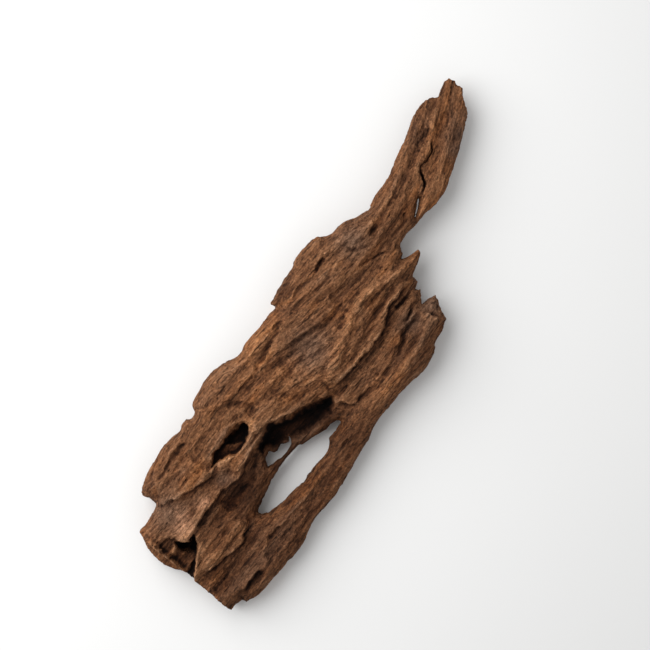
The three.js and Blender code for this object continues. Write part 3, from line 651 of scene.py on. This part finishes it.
class Plan:
    """The plan as a grid of points, and values read between them."""

    def __init__(self):
        self.xs = np.arange(-LENGTH / 2, LENGTH / 2 + STEP, STEP)
        self.ys = np.arange(-WIDTH / 2, WIDTH / 2 + STEP, STEP)
        self.x, self.y = np.meshgrid(self.xs, self.ys, indexing="ij")
        self.bent_x = self.x.copy()
        self.bent_y = self.y.copy()
        for seed_x, seed_y, size, far in WANDERING:
            self.bent_x += far * noise2(self.x / size, self.y / size, seed_x)
            self.bent_y += far * noise2(self.x / size, self.y / size, seed_y)
        self.way = self.grain_way()

    def grain_way(self):
        """The direction of the grain at each point."""
        turns = [math.radians(turn) - LENGTH_TURN for _, turn in GRAIN_SPOTS]
        places = to_part([at for at, _ in GRAIN_SPOTS])
        angle = blend(places, turns, GRAIN_REACH, self.x, self.y)
        return np.cos(angle), np.sin(angle)

    def near(self, line, reach):
        """The part of the grid within reach of a line, as slices."""
        slices = []
        for axis, low, high in zip((self.xs, self.ys), line.min(axis=0), line.max(axis=0)):
            first = np.searchsorted(axis, low - reach)
            last = np.searchsorted(axis, high + reach)
            slices.append(slice(first, max(last, first + 1)))
        return tuple(slices)

    def read(self, values, x, y):
        """The grid's values at any points."""
        i = np.clip((x - self.xs[0]) / STEP, 0, len(self.xs) - GRID_END)
        j = np.clip((y - self.ys[0]) / STEP, 0, len(self.ys) - GRID_END)
        i0 = i.astype(int)
        j0 = j.astype(int)
        a = i - i0
        b = j - j0
        low = lerp(values[i0, j0], values[i0 + 1, j0], a)
        high = lerp(values[i0, j0 + 1], values[i0 + 1, j0 + 1], a)
        return lerp(low, high, b)


def blurred(values, reach):
    """Values averaged over a square of this reach in mm, again and again, which is nearly a bell."""
    n = max(1, round(reach / STEP))
    for _ in range(BLUR_PASSES):
        for axis in (0, 1):
            pad = [(n + 1, n) if a == axis else (0, 0) for a in (0, 1)]
            total = np.cumsum(np.pad(values, pad, mode="edge"), axis=axis)
            size = values.shape[axis]
            high = np.take(total, range(2 * n + 1, 2 * n + 1 + size), axis=axis)
            low = np.take(total, range(size), axis=axis)
            values = (high - low) / (2 * n + 1)
    return values


def streaks_of(plan, seed, size, height, count=STREAK_STEPS):
    """Noise averaged along the grain, so that it makes long streaks."""
    total = np.zeros(plan.x.shape)
    for sign in (1, -1):
        px = plan.x
        py = plan.y
        for _ in range(count):
            total += noise2(px / size, py / size, seed)
            stride = sign * size * STREAK_STRIDE
            wx = plan.read(plan.way[0], px, py)
            wy = plan.read(plan.way[1], px, py)
            px = px + stride * wx
            py = py + stride * wy
    return height * total / (2 * count)


def even_streaks(plan, seed, size):
    return even(streaks_of(plan, seed, size, 1, LONG_STREAK_STEPS))


def steps(values):
    """Values rounded to whole steps, with a short slope between them."""
    low = np.floor(values)
    return low + smoothstep(values - low, 0.5 - STEP_SOFTNESS, 0.5 + STEP_SOFTNESS)


def weathering(plan, shift):
    """Layers that have split off and thin splits along the grain, as a height over the plan."""
    total = np.zeros(plan.x.shape)
    for seed, size, rise, count in LAYERS:
        streaks = even_streaks(plan, seed + shift, size) * count
        total += rise * (steps(streaks) * STEPPED_SHARE + streaks * (1 - STEPPED_SHARE))
    for seed, size, depth, width in SPLITS:
        streaks = even_streaks(plan, seed + shift, size)
        where = noise2(plan.x / OPENED_SIZE[0], plan.y / OPENED_SIZE[1], seed + shift + 1)
        opened = smoothstep(even(where), *OPENED_RANGE)
        total -= depth * opened * np.exp(-((streaks / width) ** 2))
    return total


def by_line(plan, points, reach, ends):
    """The part of the plan by a wandering line, with its distance, its side and the ends' share."""
    line = smooth_line(points, LINE_DENSITY)
    part = plan.near(line, reach + WANDER)
    distance, side, along = nearest(line, plan.bent_x[part], plan.bent_y[part])
    return part, distance, side, smoothstep(np.minimum(along, 1 - along), *ends)


def in_outline(plan, points, reach):
    """The part of the plan round a wandering outline, and how far inside it each point is."""
    corners = to_part(points)
    part = plan.near(corners, reach + WANDER)
    return part, inset(corners, plan.bent_x[part], plan.bent_y[part])


def add_ledge(plan, face, relief, ledge):
    _, rise, fade, points = ledge
    part, distance, side, ends = by_line(plan, points, fade, LEDGE_ENDS)
    lift = rise * ends * smoothstep(distance, 0, LEDGE_SLOPE) * (1 - smoothstep(distance, 0, fade))
    face[part] += np.where(side < 0, 0, lift) * relief[part]


def add_plate(plan, face, relief, plate):
    _, rise, points = plate
    part, depth = in_outline(plan, points, 0)
    face[part] += rise * smoothstep(depth, 0, PLATE_SLOPE) * relief[part]


def add_stroke(plan, face, relief, stroke):
    _, width, height, points = stroke
    part, distance, _, ends = by_line(plan, points, width, STROKE_ENDS)
    bowl = np.clip(1 - (distance / width) ** 2, 0, 1) ** 2
    face[part] += height * ends * bowl * relief[part]


def sink_basin(plan, face, basin):
    _, floor, wall, points = basin
    part, depth = in_outline(plan, points, wall)
    sunk = smoothstep(depth, -wall * WALL_OUTSIDE, wall)
    face[part] = lerp(face[part], np.minimum(face[part], floor), sunk)


def lowered(heights):
    """Heights eased down so that none reaches past the highest face."""
    room = HIGHEST_FACE - EASED_FROM
    past = np.maximum(heights - EASED_FROM, 0)
    return np.minimum(heights, EASED_FROM) + room * np.tanh(past / room)


def past_saw_cut(plan):
    """How far each plan point lies beyond the saw cut."""
    right, left = to_part(SAW_LINE)
    along = (left - right) / np.linalg.norm(left - right)
    return (plan.y - right[1]) * along[0] - (plan.x - right[0]) * along[1]


def potential(way_x, way_y):
    """The field over the plan whose slope is nearest to the vectors, by mirrored Fourier series."""
    fx = np.concatenate([way_x, -way_x[::-1]], axis=0)
    fx = np.concatenate([fx, fx[:, ::-1]], axis=1)
    fy = np.concatenate([way_y, way_y[::-1]], axis=0)
    fy = np.concatenate([fy, -fy[:, ::-1]], axis=1)
    kx = 2 * np.pi * np.fft.fftfreq(fx.shape[0], STEP)[:, None]
    ky = 2 * np.pi * np.fft.fftfreq(fx.shape[1], STEP)[None, :]
    square = kx**2 + ky**2
    square[0, 0] = 1
    series = -1j * (kx * np.fft.fft2(fx) + ky * np.fft.fft2(fy)) / square
    return np.fft.ifft2(series).real[: way_x.shape[0], : way_x.shape[1]]


class Wood:
    """The heights of the wood's face and back over the plan, and what the colour and its painted
    shade read from them.
    """

    def __init__(self):
        self.plan = Plan()
        self.find_edges()
        self.size_body()
        plain_face = self.middle + self.half
        plain_back = self.middle - self.half
        face = self.carved_face(plain_face.copy())
        back = self.carved_back(plain_back.copy())
        least = np.minimum(LEAST_THICKNESS, self.full * LEAST_THICKNESS_SHARE)
        self.back = np.maximum(np.minimum(back, face - least), 0)
        self.face = np.maximum(face, self.back + least)
        self.sunk = np.maximum(plain_face - self.face, 0)
        self.relief = self.face - plain_face
        self.back_relief = plain_back - self.back
        way_x, way_y = self.plan.way
        self.along = potential(way_x, way_y)
        self.across = potential(-way_y, way_x)

    def find_edges(self):
        """How far in each plan point is, from the wood's real edges and as if it wasn't sawn off."""
        plan = self.plan
        to_holes = [-inset(stretch_points(hole), plan.x, plan.y) for hole in HOLES]
        to_outline = inset(join_stretches(OUTLINE), plan.x, plan.y)
        self.edge = np.minimum.reduce([to_outline, *to_holes])
        self.at_side = (np.abs(to_outline) < SIDE_REACH) & (self.edge == to_outline)
        self.at_side &= past_saw_cut(plan) < -SIDE_REACH
        seed, size, depth = FRAY
        fray = depth * even(streaks_of(plan, seed, size, 1))
        self.edge += np.clip(fray, -MOST_FRAYED, MOST_FRAYED) * self.at_side
        uncut = join_stretches([UNCUT_END if s[0] == SAWN_STRETCH else s for s in OUTLINE])
        self.uncut_edge = np.minimum.reduce([inset(uncut, plan.x, plan.y), *to_holes])

    def size_body(self):
        """The height of the wood's middle, half its thickness, and how much relief its edges take."""
        at = to_part([place for place, _, _ in BODY_SPOTS])
        middles = [middle for _, middle, _ in BODY_SPOTS]
        thicknesses = [thickness for _, _, thickness in BODY_SPOTS]
        self.middle = blend(at, middles, BODY_REACH, self.plan.x, self.plan.y)
        self.full = blend(at, thicknesses, BODY_REACH, self.plan.x, self.plan.y)
        inward = self.uncut_edge / EDGE_REACH
        rounding = np.sqrt(1 - (1 - np.clip(inward, 0, 1)) ** 2)
        self.half = lerp(np.minimum(EDGE_THICKNESS, self.full), self.full, rounding) / 2
        self.relief_share = np.clip(inward, LEAST_RELIEF, 1)
        self.wear_share = np.clip(inward, LEAST_WEAR, 1)

    def carved_face(self, face):
        for ledge in LEDGES:
            add_ledge(self.plan, face, self.relief_share, ledge)
        for plate in PLATES:
            add_plate(self.plan, face, self.relief_share, plate)
        for seed, size, height in STREAKS:
            face += streaks_of(self.plan, seed, size, height) * self.relief_share
        for basin in BASINS:
            sink_basin(self.plan, face, basin)
        for stroke in STROKES:
            add_stroke(self.plan, face, self.relief_share, stroke)
        return lowered(face + weathering(self.plan, 0) * self.wear_share)

    def carved_back(self, back):
        for stroke in BACK_STROKES:
            add_stroke(self.plan, back, self.relief_share, stroke)
        for seed, size, height in STREAKS:
            back += streaks_of(self.plan, seed + 1, size, height) * self.relief_share
        for _, at, reach, drop in FEET:
            (fx, fy), = to_part(at)
            distance = np.hypot((self.plan.x - fx) / FOOT_STRETCH, self.plan.y - fy)
            back -= drop * (1 - smoothstep(distance, reach * FOOT_FLAT, reach))
        return back + weathering(self.plan, BACK_SHIFT) * self.wear_share


def carve_hollow(field, plan, levels, hollow):
    """Takes a squashed ball, turned to lie along the grain, out of the field."""
    _, at, height, half, turn = hollow
    (cx, cy), = to_part(at)
    angle = math.radians(turn) - LENGTH_TURN
    part = plan.near(np.array([[cx, cy]]), max(half) + HOLLOW_MARGIN)
    x = (plan.x[part] - cx)[:, :, None]
    y = (plan.y[part] - cy)[:, :, None]
    z = levels[None, None, :] - height
    along = (x * math.cos(angle) + y * math.sin(angle)) / half[0]
    across = (y * math.cos(angle) - x * math.sin(angle)) / half[1]
    up = z / half[2]
    length = np.sqrt(along**2 + across**2 + up**2)
    slope = np.sqrt((along / half[0]) ** 2 + (across / half[1]) ** 2 + (up / half[2]) ** 2)
    outside = (length - 1) * length / np.maximum(slope, TINY)
    field[part] = np.minimum(field[part], outside)


def cut_saw_waste(field, plan, levels):
    """Takes away the wood beyond the saw cut and above the back layer."""
    beyond = past_saw_cut(plan)
    kept = np.maximum(-beyond[:, :, None], BACK_LAYER_TOP - levels[None, None, :])
    np.minimum(field, kept, out=field)


def side_layers(wood, levels):
    """The distance in from the outline at each level, less where a layer of the side has gone."""
    edge = np.repeat(wood.edge[:, :, None] + EDGE_ALLOWANCE, len(levels), axis=2)
    near = wood.at_side
    x = wood.plan.x[near][:, None]
    y = wood.plan.y[near][:, None]
    for seed, size, height, depth in SIDE_LAYERS:
        layer = noise3(x / size, y / size, levels[None, :] / height, seed)
        edge[near] -= depth * smoothstep(layer, *LAYER_GONE)
    return edge


def upright_share(heights):
    """How much of a gap measured straight up from a slope is distance from it."""
    gx, gy = np.gradient(heights, STEP)
    return (1 / np.sqrt(1 + gx**2 + gy**2))[:, :, None]


def carve(wood):
    """The wood as a field of distances in from its surface."""
    levels = np.arange(LOWEST, HIGHEST, STEP)
    z = levels[None, None, :]
    under_face = (wood.face[:, :, None] - z) * upright_share(wood.face)
    over_back = (z - wood.back[:, :, None]) * upright_share(wood.back)
    field = np.minimum(under_face, side_layers(wood, levels))
    field = np.minimum(field, over_back)
    for hollow in WORN_HOLLOWS:
        carve_hollow(field, wood.plan, levels, hollow)
    cut_saw_waste(field, wood.plan, levels)
    return field.astype(np.float32), levels


def cells_round(at, axis):
    """The four cells round each grid edge that starts at these points and runs along the axis."""
    one, two = [a for a in range(3) if a != axis]
    ring = []
    for back_one, back_two in ((1, 1), (0, 1), (0, 0), (1, 0)):
        cell = at.copy()
        cell[:, one] -= back_one
        cell[:, two] -= back_two
        ring.append(cell)
    return ring if axis != 1 else ring[::-1]


def faces_round(ring, number):
    """Four-sided faces, each from the points in the four cells of a ring."""
    return np.stack([number[tuple(cell.T)] for cell in ring], axis=1)


def surface_points(field, origin):
    """A point in each cell that the surface passes through, and the cells' numbers."""
    solid = field > 0
    size = np.array(field.shape)
    count = np.zeros(size - 1, np.uint8)
    corners = [(i, j, k) for i in (0, 1) for j in (0, 1) for k in (0, 1)]
    for corner in corners:
        count += solid[tuple(slice(c, n - 1 + c) for c, n in zip(corner, size))]
    cells = np.argwhere((count > 0) & (count < len(corners)))
    number = np.full(size - 1, -1, np.int32)
    number[tuple(cells.T)] = np.arange(len(cells))

    total = np.zeros((len(cells), 3))
    hits = np.zeros(len(cells))
    for start in corners:
        for axis in range(3):
            if start[axis]:
                continue
            end = list(start)
            end[axis] = 1
            a = field[tuple((cells + start).T)]
            b = field[tuple((cells + end).T)]
            mixed = (a > 0) != (b > 0)
            t = a[mixed] / (a[mixed] - b[mixed])
            spot = np.tile(np.array(start, float), (len(t), 1))
            spot[:, axis] += t
            total[mixed] += spot
            hits[mixed] += 1
    return origin + (cells + total / hits[:, None]) * STEP, number


def faces_of(field, number, region):
    """The skin's four-sided faces and each one's piece."""
    solid = field > 0
    faces = []
    owners = []
    for axis in range(3):
        ahead = np.eye(3, dtype=int)[axis]
        inner = [slice(1, n - 1) for n in solid.shape]
        inner[axis] = slice(0, solid.shape[axis] - 1)
        next_inner = list(inner)
        next_inner[axis] = slice(1, solid.shape[axis])
        first = solid[tuple(inner)]
        at = np.argwhere(first != solid[tuple(next_inner)])
        outward = first[tuple(at.T)]
        at = at + 1 - ahead
        quads = faces_round(cells_round(at, axis), number)
        faces.append(np.where(outward[:, None], quads, quads[:, ::-1]))
        inside = np.where(outward[:, None], at, at + ahead)
        owners.append(region[inside[:, 0], inside[:, 1]])
    return np.concatenate(faces), np.concatenate(owners)


def joints_of(field, number, region, origin, first_number):
    """The faces inside the wood where two pieces meet, one for each, with points of their own."""
    solid = field > 0
    faces = []
    owners = []
    extra = []
    for axis in (0, 1):
        ahead = np.eye(3, dtype=int)[axis]
        low = tuple(slice(0, n - a) for n, a in zip(solid.shape, ahead))
        high = tuple(slice(a, None) for a in ahead)
        parted = region[low[:2]] != region[high[:2]]
        at = np.argwhere(solid[low] & solid[high] & parted[:, :, None])
        ring = cells_round(at, axis)
        for cell in ring:
            new = cell[number[tuple(cell.T)] < 0]
            new = np.unique(new, axis=0)
            number[tuple(new.T)] = first_number + np.arange(len(new))
            first_number += len(new)
            extra.append(origin + (new + 0.5) * STEP)
        quads = faces_round(ring, number)
        past = at + ahead
        faces += [quads, quads[:, ::-1]]
        owners += [region[at[:, 0], at[:, 1]], region[past[:, 0], past[:, 1]]]
    return np.concatenate(extra), np.concatenate(faces), np.concatenate(owners)


def normals_of(points, faces):
    """Smooth normals of a four-sided mesh."""
    a, b, c, d = (points[faces[:, i]] for i in range(4))
    flat = np.cross(c - a, d - b)
    total = np.zeros(points.shape)
    for corner in range(4):
        for axis in range(3):
            total[:, axis] += np.bincount(faces[:, corner], flat[:, axis], len(points))
    return total / np.maximum(np.linalg.norm(total, axis=1), TINY)[:, None]


def fibres(plan, points, seed, across, length):
    """Noise in space averaged along the grain, evened out."""
    total = np.zeros(len(points))
    count = max(LEAST_FIBRE_STEPS, round(length / across / 2))
    for sign in (1, -1):
        px = points[:, 0].copy()
        py = points[:, 1].copy()
        for _ in range(count):
            total += noise3(px / across, py / across, points[:, 2] / across, seed)
            px += sign * across * plan.read(plan.way[0], px, py)
            py += sign * across * plan.read(plan.way[1], px, py)
    return even(total)


def raise_fibres(wood, points, faces):
    """The points with the fibres raised, and how high the two longest kinds stand at each one."""
    values = [fibres(wood.plan, points, *fibre[:3]) for fibre in FIBRES]
    lift = sum(value * fibre[3] for value, fibre in zip(values, FIBRES))
    inward = np.minimum(lift, HIGHEST_FIBRE) - HIGHEST_FIBRE
    sunk = wood.plan.read(wood.sunk, points[:, 0], points[:, 1])
    share = LEAST_FIBRE_SHARE + (1 - LEAST_FIBRE_SHARE) * smoothstep(sunk, *FIBRES_FLATTEN)
    points = points + normals_of(points, faces) * (inward * share)[:, None]
    low, high = (np.array(corner) / MM for corner in CAD_BOX)
    return np.clip(points, low, high), (values[0] + values[1]) / 2


def patches(spots, points):
    """How strongly each point lies in one of the patches, from 0 to 1."""
    x, y, _ = points.T
    return np.maximum.reduce([bell(x, y, to_part(at)[0], reach) for at, reach in spots])


def painted_shading(points):
    """Painted shade and light on the colour at each point, with a little of the wood's own tone."""
    x, y, _ = points.T
    value = np.ones(len(points))
    for at, reach, bright in PAINTED_SHADING_PATCHES:
        value *= 1 + (bright - 1) * bell(x, y, to_part(at)[0], reach)
    return value


def colour_and_painted_shade_reads(wood, points, streak):
    """What the colour and its painted shade read at each point, by name."""
    plan = wood.plan
    x, y, z = points.T
    middle = (plan.read(wood.face, x, y) + plan.read(wood.back, x, y)) / 2
    on_face = smoothstep(z - middle, -FACE_MARGIN, FACE_MARGIN)
    reads = {
        "streak": streak,
        "sunk": plan.read(wood.sunk, x, y) * on_face,
        "deep": plan.read(blurred(wood.face, DEEP_REACH) - wood.face, x, y) * on_face,
        # the patches' painted shade and light, on the face only
        "shade": lerp(1, painted_shading(points), on_face),
    }
    for name, reach in RELIEF_READS:
        face = plan.read(wood.relief - blurred(wood.relief, reach), x, y)
        back = plan.read(wood.back_relief - blurred(wood.back_relief, reach), x, y)
        reads[name] = lerp(back, face, on_face) / reach
    for name, spots in PATCHES:
        reads[name] = patches(spots, points) * on_face
    return {name: np.clip(value, *READ_LIMITS) for name, value in reads.items()}


def fibre_places(wood, points):
    """Each point's place along the grain, across it and up."""
    x, y, z = points.T
    return np.stack([wood.plan.read(wood.along, x, y), wood.plan.read(wood.across, x, y), z], axis=1)


def region_map(plan):
    """Which piece each plan point belongs to, as a number in PIECES."""
    region = np.searchsorted(TRUNK_CUTS, plan.x.ravel()).reshape(plan.x.shape)
    for number, (_, _, block) in enumerate(PIECES):
        if block:
            region[inset(to_part(block), plan.x, plan.y) > 0] = number
    return region


def make_piece(name, node, points, faces, normals, reads, fibre, material):
    used, index = np.unique(faces, return_inverse=True)
    mesh = bpy.data.meshes.new(name)
    mesh.from_pydata((points[used] * MM).tolist(), [], index.reshape(-1, 4).tolist())
    for key, value in reads.items():
        layer = mesh.attributes.new(key, "FLOAT", "POINT")
        layer.data.foreach_set("value", value[used].astype(np.float32))
    layer = mesh.attributes.new("fibre", "FLOAT_VECTOR", "POINT")
    layer.data.foreach_set("vector", (fibre[used] * MM).astype(np.float32).ravel())
    mesh.shade_smooth()
    mesh.normals_split_custom_set_from_vertices(normals[used].tolist())
    mesh.materials.append(material)

    piece = bpy.data.objects.new(name, mesh)
    bpy.context.scene.collection.objects.link(piece)
    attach(piece, "root")
    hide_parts(node)


class Nodes:
    """Makes the wood material's nodes and links them, and keeps what they give by name."""

    def __init__(self, name):
        self.material = bpy.data.materials.new(name)
        self.material.use_nodes = True
        self.tree = self.material.node_tree
        self.shader = self.tree.nodes["Principled BSDF"]
        fibre = self.read("fibre", "Vector")
        self.values = {name: self.noise(fibre, *noise) for name, noise in NOISES.items()}
        for name in READS:
            self.values[name] = self.read(name)

    def put(self, socket, value):
        if isinstance(value, bpy.types.NodeSocket):
            self.tree.links.new(value, socket)
        else:
            socket.default_value = value

    def node(self, kind, *values, **settings):
        """A new node with these settings, and these values on its sockets in turn."""
        node = self.tree.nodes.new("ShaderNode" + kind)
        for name, setting in settings.items():
            setattr(node, name, setting)
        for socket, value in zip(node.inputs, values):
            self.put(socket, value)
        return node

    def read(self, name, out="Fac"):
        return self.node("Attribute", attribute_name=name).outputs[out]

    def maths(self, operation, *values):
        return self.node("Math", *values, operation=operation).outputs[0]

    def times(self, first, *others):
        for other in others:
            first = self.maths("MULTIPLY", first, other)
        return first

    def total(self, start, shares):
        """The named values, each multiplied by its share, added up."""
        for name, share in shares:
            start = self.maths("MULTIPLY_ADD", self.values[name], share, start)
        return start

    def spread(self, name):
        """A named value moved from one range to another, and held inside it, as SPREADS says."""
        source, given, wanted = SPREADS[name]
        return self.node("MapRange", self.values[source], *given, *wanted).outputs[0]

    def mix(self, share, a, b, blend_type="MIX"):
        node = self.node("Mix", data_type="RGBA", blend_type=blend_type)
        for name, value in (("Factor_Float", share), ("A_Color", a), ("B_Color", b)):
            socket = next(i for i in node.inputs if i.identifier == name)
            self.put(socket, (*value, 1) if isinstance(value, tuple) else value)
        return next(o for o in node.outputs if o.identifier == "Result_Color")

    def dim(self, colour, red, green, blue):
        """A colour with its red, green and blue each multiplied by a value."""
        by = self.node("CombineColor", red, green, blue).outputs[0]
        return self.mix(1.0, colour, by, "MULTIPLY")

    def ramp(self, value, colours):
        node = self.node("ValToRGB", value)
        elements = node.color_ramp.elements
        while len(elements) < len(colours):
            elements.new(0.5)
        for element, place, colour in zip(elements, RAMP_PLACES, colours):
            element.position = place
            element.color = (*colour, 1)
        return node.outputs[0]

    def noise(self, vector, along, across, detail, rough):
        """Noise in features for each metre along the fibres and across them."""
        scale = self.node("Mapping", vector)
        scale.inputs["Scale"].default_value = (along, across, across)
        node = self.node("TexNoise", scale.outputs[0])
        for key, value in (("Scale", 1.0), ("Detail", detail), ("Roughness", rough)):
            node.inputs[key].default_value = value
        return node.outputs["Fac"]


def wood_colour(n, ridge):
    """Brown on the ridges' height, with orange, grey and pale patches."""
    warm = n.ramp(ridge, WARM_COLOURS)
    colour = n.ramp(ridge, WOOD_COLOURS)
    warm_patches = n.times(n.values["warm"], n.spread("patchy warmth"), WARM_SHARE)
    colour = n.mix(warm_patches, colour, warm)
    colour = n.mix(n.spread("warm clouds"), colour, warm)
    grey_patches = n.times(n.values["grey"], GREY_SHARE)
    grey = n.maths("MAXIMUM", grey_patches, n.spread("grey clouds"))
    colour = n.mix(grey, colour, n.ramp(ridge, GREY_COLOURS))
    pale = n.times(n.values["pale"], n.spread("streaky pale"))
    return n.mix(pale, colour, PALE_WOOD)


def wood_material():
    """Dry, dark brown wood, tan on worn ridges, orange and grey in patches, with painted shade: black
    in hollows.
    """
    n = Nodes("weathered_wood")
    ridge = n.values["ridge"] = n.total(RIDGE_START, RIDGE_SHARES)
    colour = wood_colour(n, ridge)
    grit = n.times(n.spread("fine grit"), n.spread("coarse grit"), n.spread("cracks"))
    colour = n.dim(colour, grit, grit, grit)
    # painted shade in grooves, hollows and low places, with the patches' painted shade and light
    shade = n.times(n.spread("grooves"), n.spread("hollows"), n.spread("low places"),
                    n.values["shade"])
    green = n.maths("POWER", shade, GREEN_SHADE_POWER)
    blue = n.maths("POWER", shade, BLUE_SHADE_POWER)
    n.put(n.shader.inputs["Base Color"], n.dim(colour, shade, green, blue))
    n.put(n.shader.inputs["Roughness"], n.spread("roughness"))
    n.shader.inputs["Specular IOR Level"].default_value = SPECULAR

    n.values["crack depth"] = n.spread("crack depth")
    bump = n.node("Bump", BUMP_STRENGTH, BUMP_DISTANCE)
    n.put(bump.inputs["Height"], n.total(0.0, BUMP_SHARES))
    n.put(n.shader.inputs["Normal"], bump.outputs[0])
    return n.material


def lay_floor():
    mesh = bpy.data.meshes.new("floor")
    corners = [(-FLOOR_HALF, -FLOOR_HALF, 0), (FLOOR_HALF, -FLOOR_HALF, 0),
               (FLOOR_HALF, FLOOR_HALF, 0), (-FLOOR_HALF, FLOOR_HALF, 0)]
    mesh.from_pydata(corners, [], [(0, 1, 2, 3)])
    floor = bpy.data.objects.new("floor", mesh)
    bpy.context.scene.collection.objects.link(floor)
    pale = bpy.data.materials.new("pale_floor")
    pale.use_nodes = True
    shader = pale.node_tree.nodes["Principled BSDF"]
    shader.inputs["Base Color"].default_value = FLOOR_COLOUR
    shader.inputs["Roughness"].default_value = FLOOR_ROUGHNESS
    mesh.materials.append(pale)


def light_studio():
    """A white sky all round, and one wide lamp from the upper left of the view."""
    world = bpy.data.worlds.new("studio")
    world.use_nodes = True
    sky = world.node_tree.nodes["Background"]
    sky.inputs["Color"].default_value = (1, 1, 1, 1)
    sky.inputs["Strength"].default_value = SKY_STRENGTH
    bpy.context.scene.world = world

    lamp = bpy.data.lights.new("key", "AREA")
    lamp.shape = "DISK"
    lamp.size = LAMP_SIZE
    lamp.energy = LAMP_WATTS
    key = bpy.data.objects.new("key", lamp)
    (kx, ky), = to_part(LAMP_PLACE) * MM
    key.location = (kx, ky, LAMP_HEIGHT)
    key.rotation_euler = (-key.location).to_track_quat("-Z", "Y").to_euler()
    bpy.context.scene.collection.objects.link(key)
    bpy.context.scene.view_settings.view_transform = "Standard"


def place_camera():
    """A camera straight above the middle of the plan, which just fills its frame."""
    data = bpy.data.cameras.new("camera")
    data.sensor_width = SENSOR_WIDTH
    view_width = PLAN_SIZE * PLAN_MM * MM
    data.lens = data.sensor_width * CAMERA_DISTANCE / view_width
    eye = bpy.data.objects.new("camera", data)
    (cx, cy), = to_part((PLAN_SIZE / 2, PLAN_SIZE / 2)) * MM
    eye.location = (cx, cy, CAMERA_DISTANCE + VIEWED_HEIGHT)
    eye.rotation_euler = (0, 0, -LENGTH_TURN)
    bpy.context.scene.collection.objects.link(eye)
    bpy.context.scene.camera = eye


def build_wood():
    wood = Wood()
    field, levels = carve(wood)
    origin = np.array([wood.plan.xs[0], wood.plan.ys[0], levels[0]])
    region = region_map(wood.plan)
    points, number = surface_points(field, origin)
    skin, skin_owners = faces_of(field, number, region)
    points, streak = raise_fibres(wood, points, skin)
    reads = colour_and_painted_shade_reads(wood, points, streak)
    inner, joints, joint_owners = joints_of(field, number, region, origin, len(points))
    upward = np.tile((0.0, 0.0, 1.0), (len(inner), 1))
    normals = np.concatenate([normals_of(points, skin), upward])
    fibre = np.concatenate([fibre_places(wood, points), inner])
    points = np.concatenate([points, inner])
    reads = {name: np.pad(value, (0, len(inner))) for name, value in reads.items()}
    faces = np.concatenate([skin, joints])
    owners = np.concatenate([skin_owners, joint_owners])
    material = wood_material()
    for piece_number, (name, node, _) in enumerate(PIECES):
        own = faces[owners == piece_number]
        make_piece(name, node, points, own, normals, reads, fibre, material)


lay_floor()
light_studio()
place_camera()
build_wood()
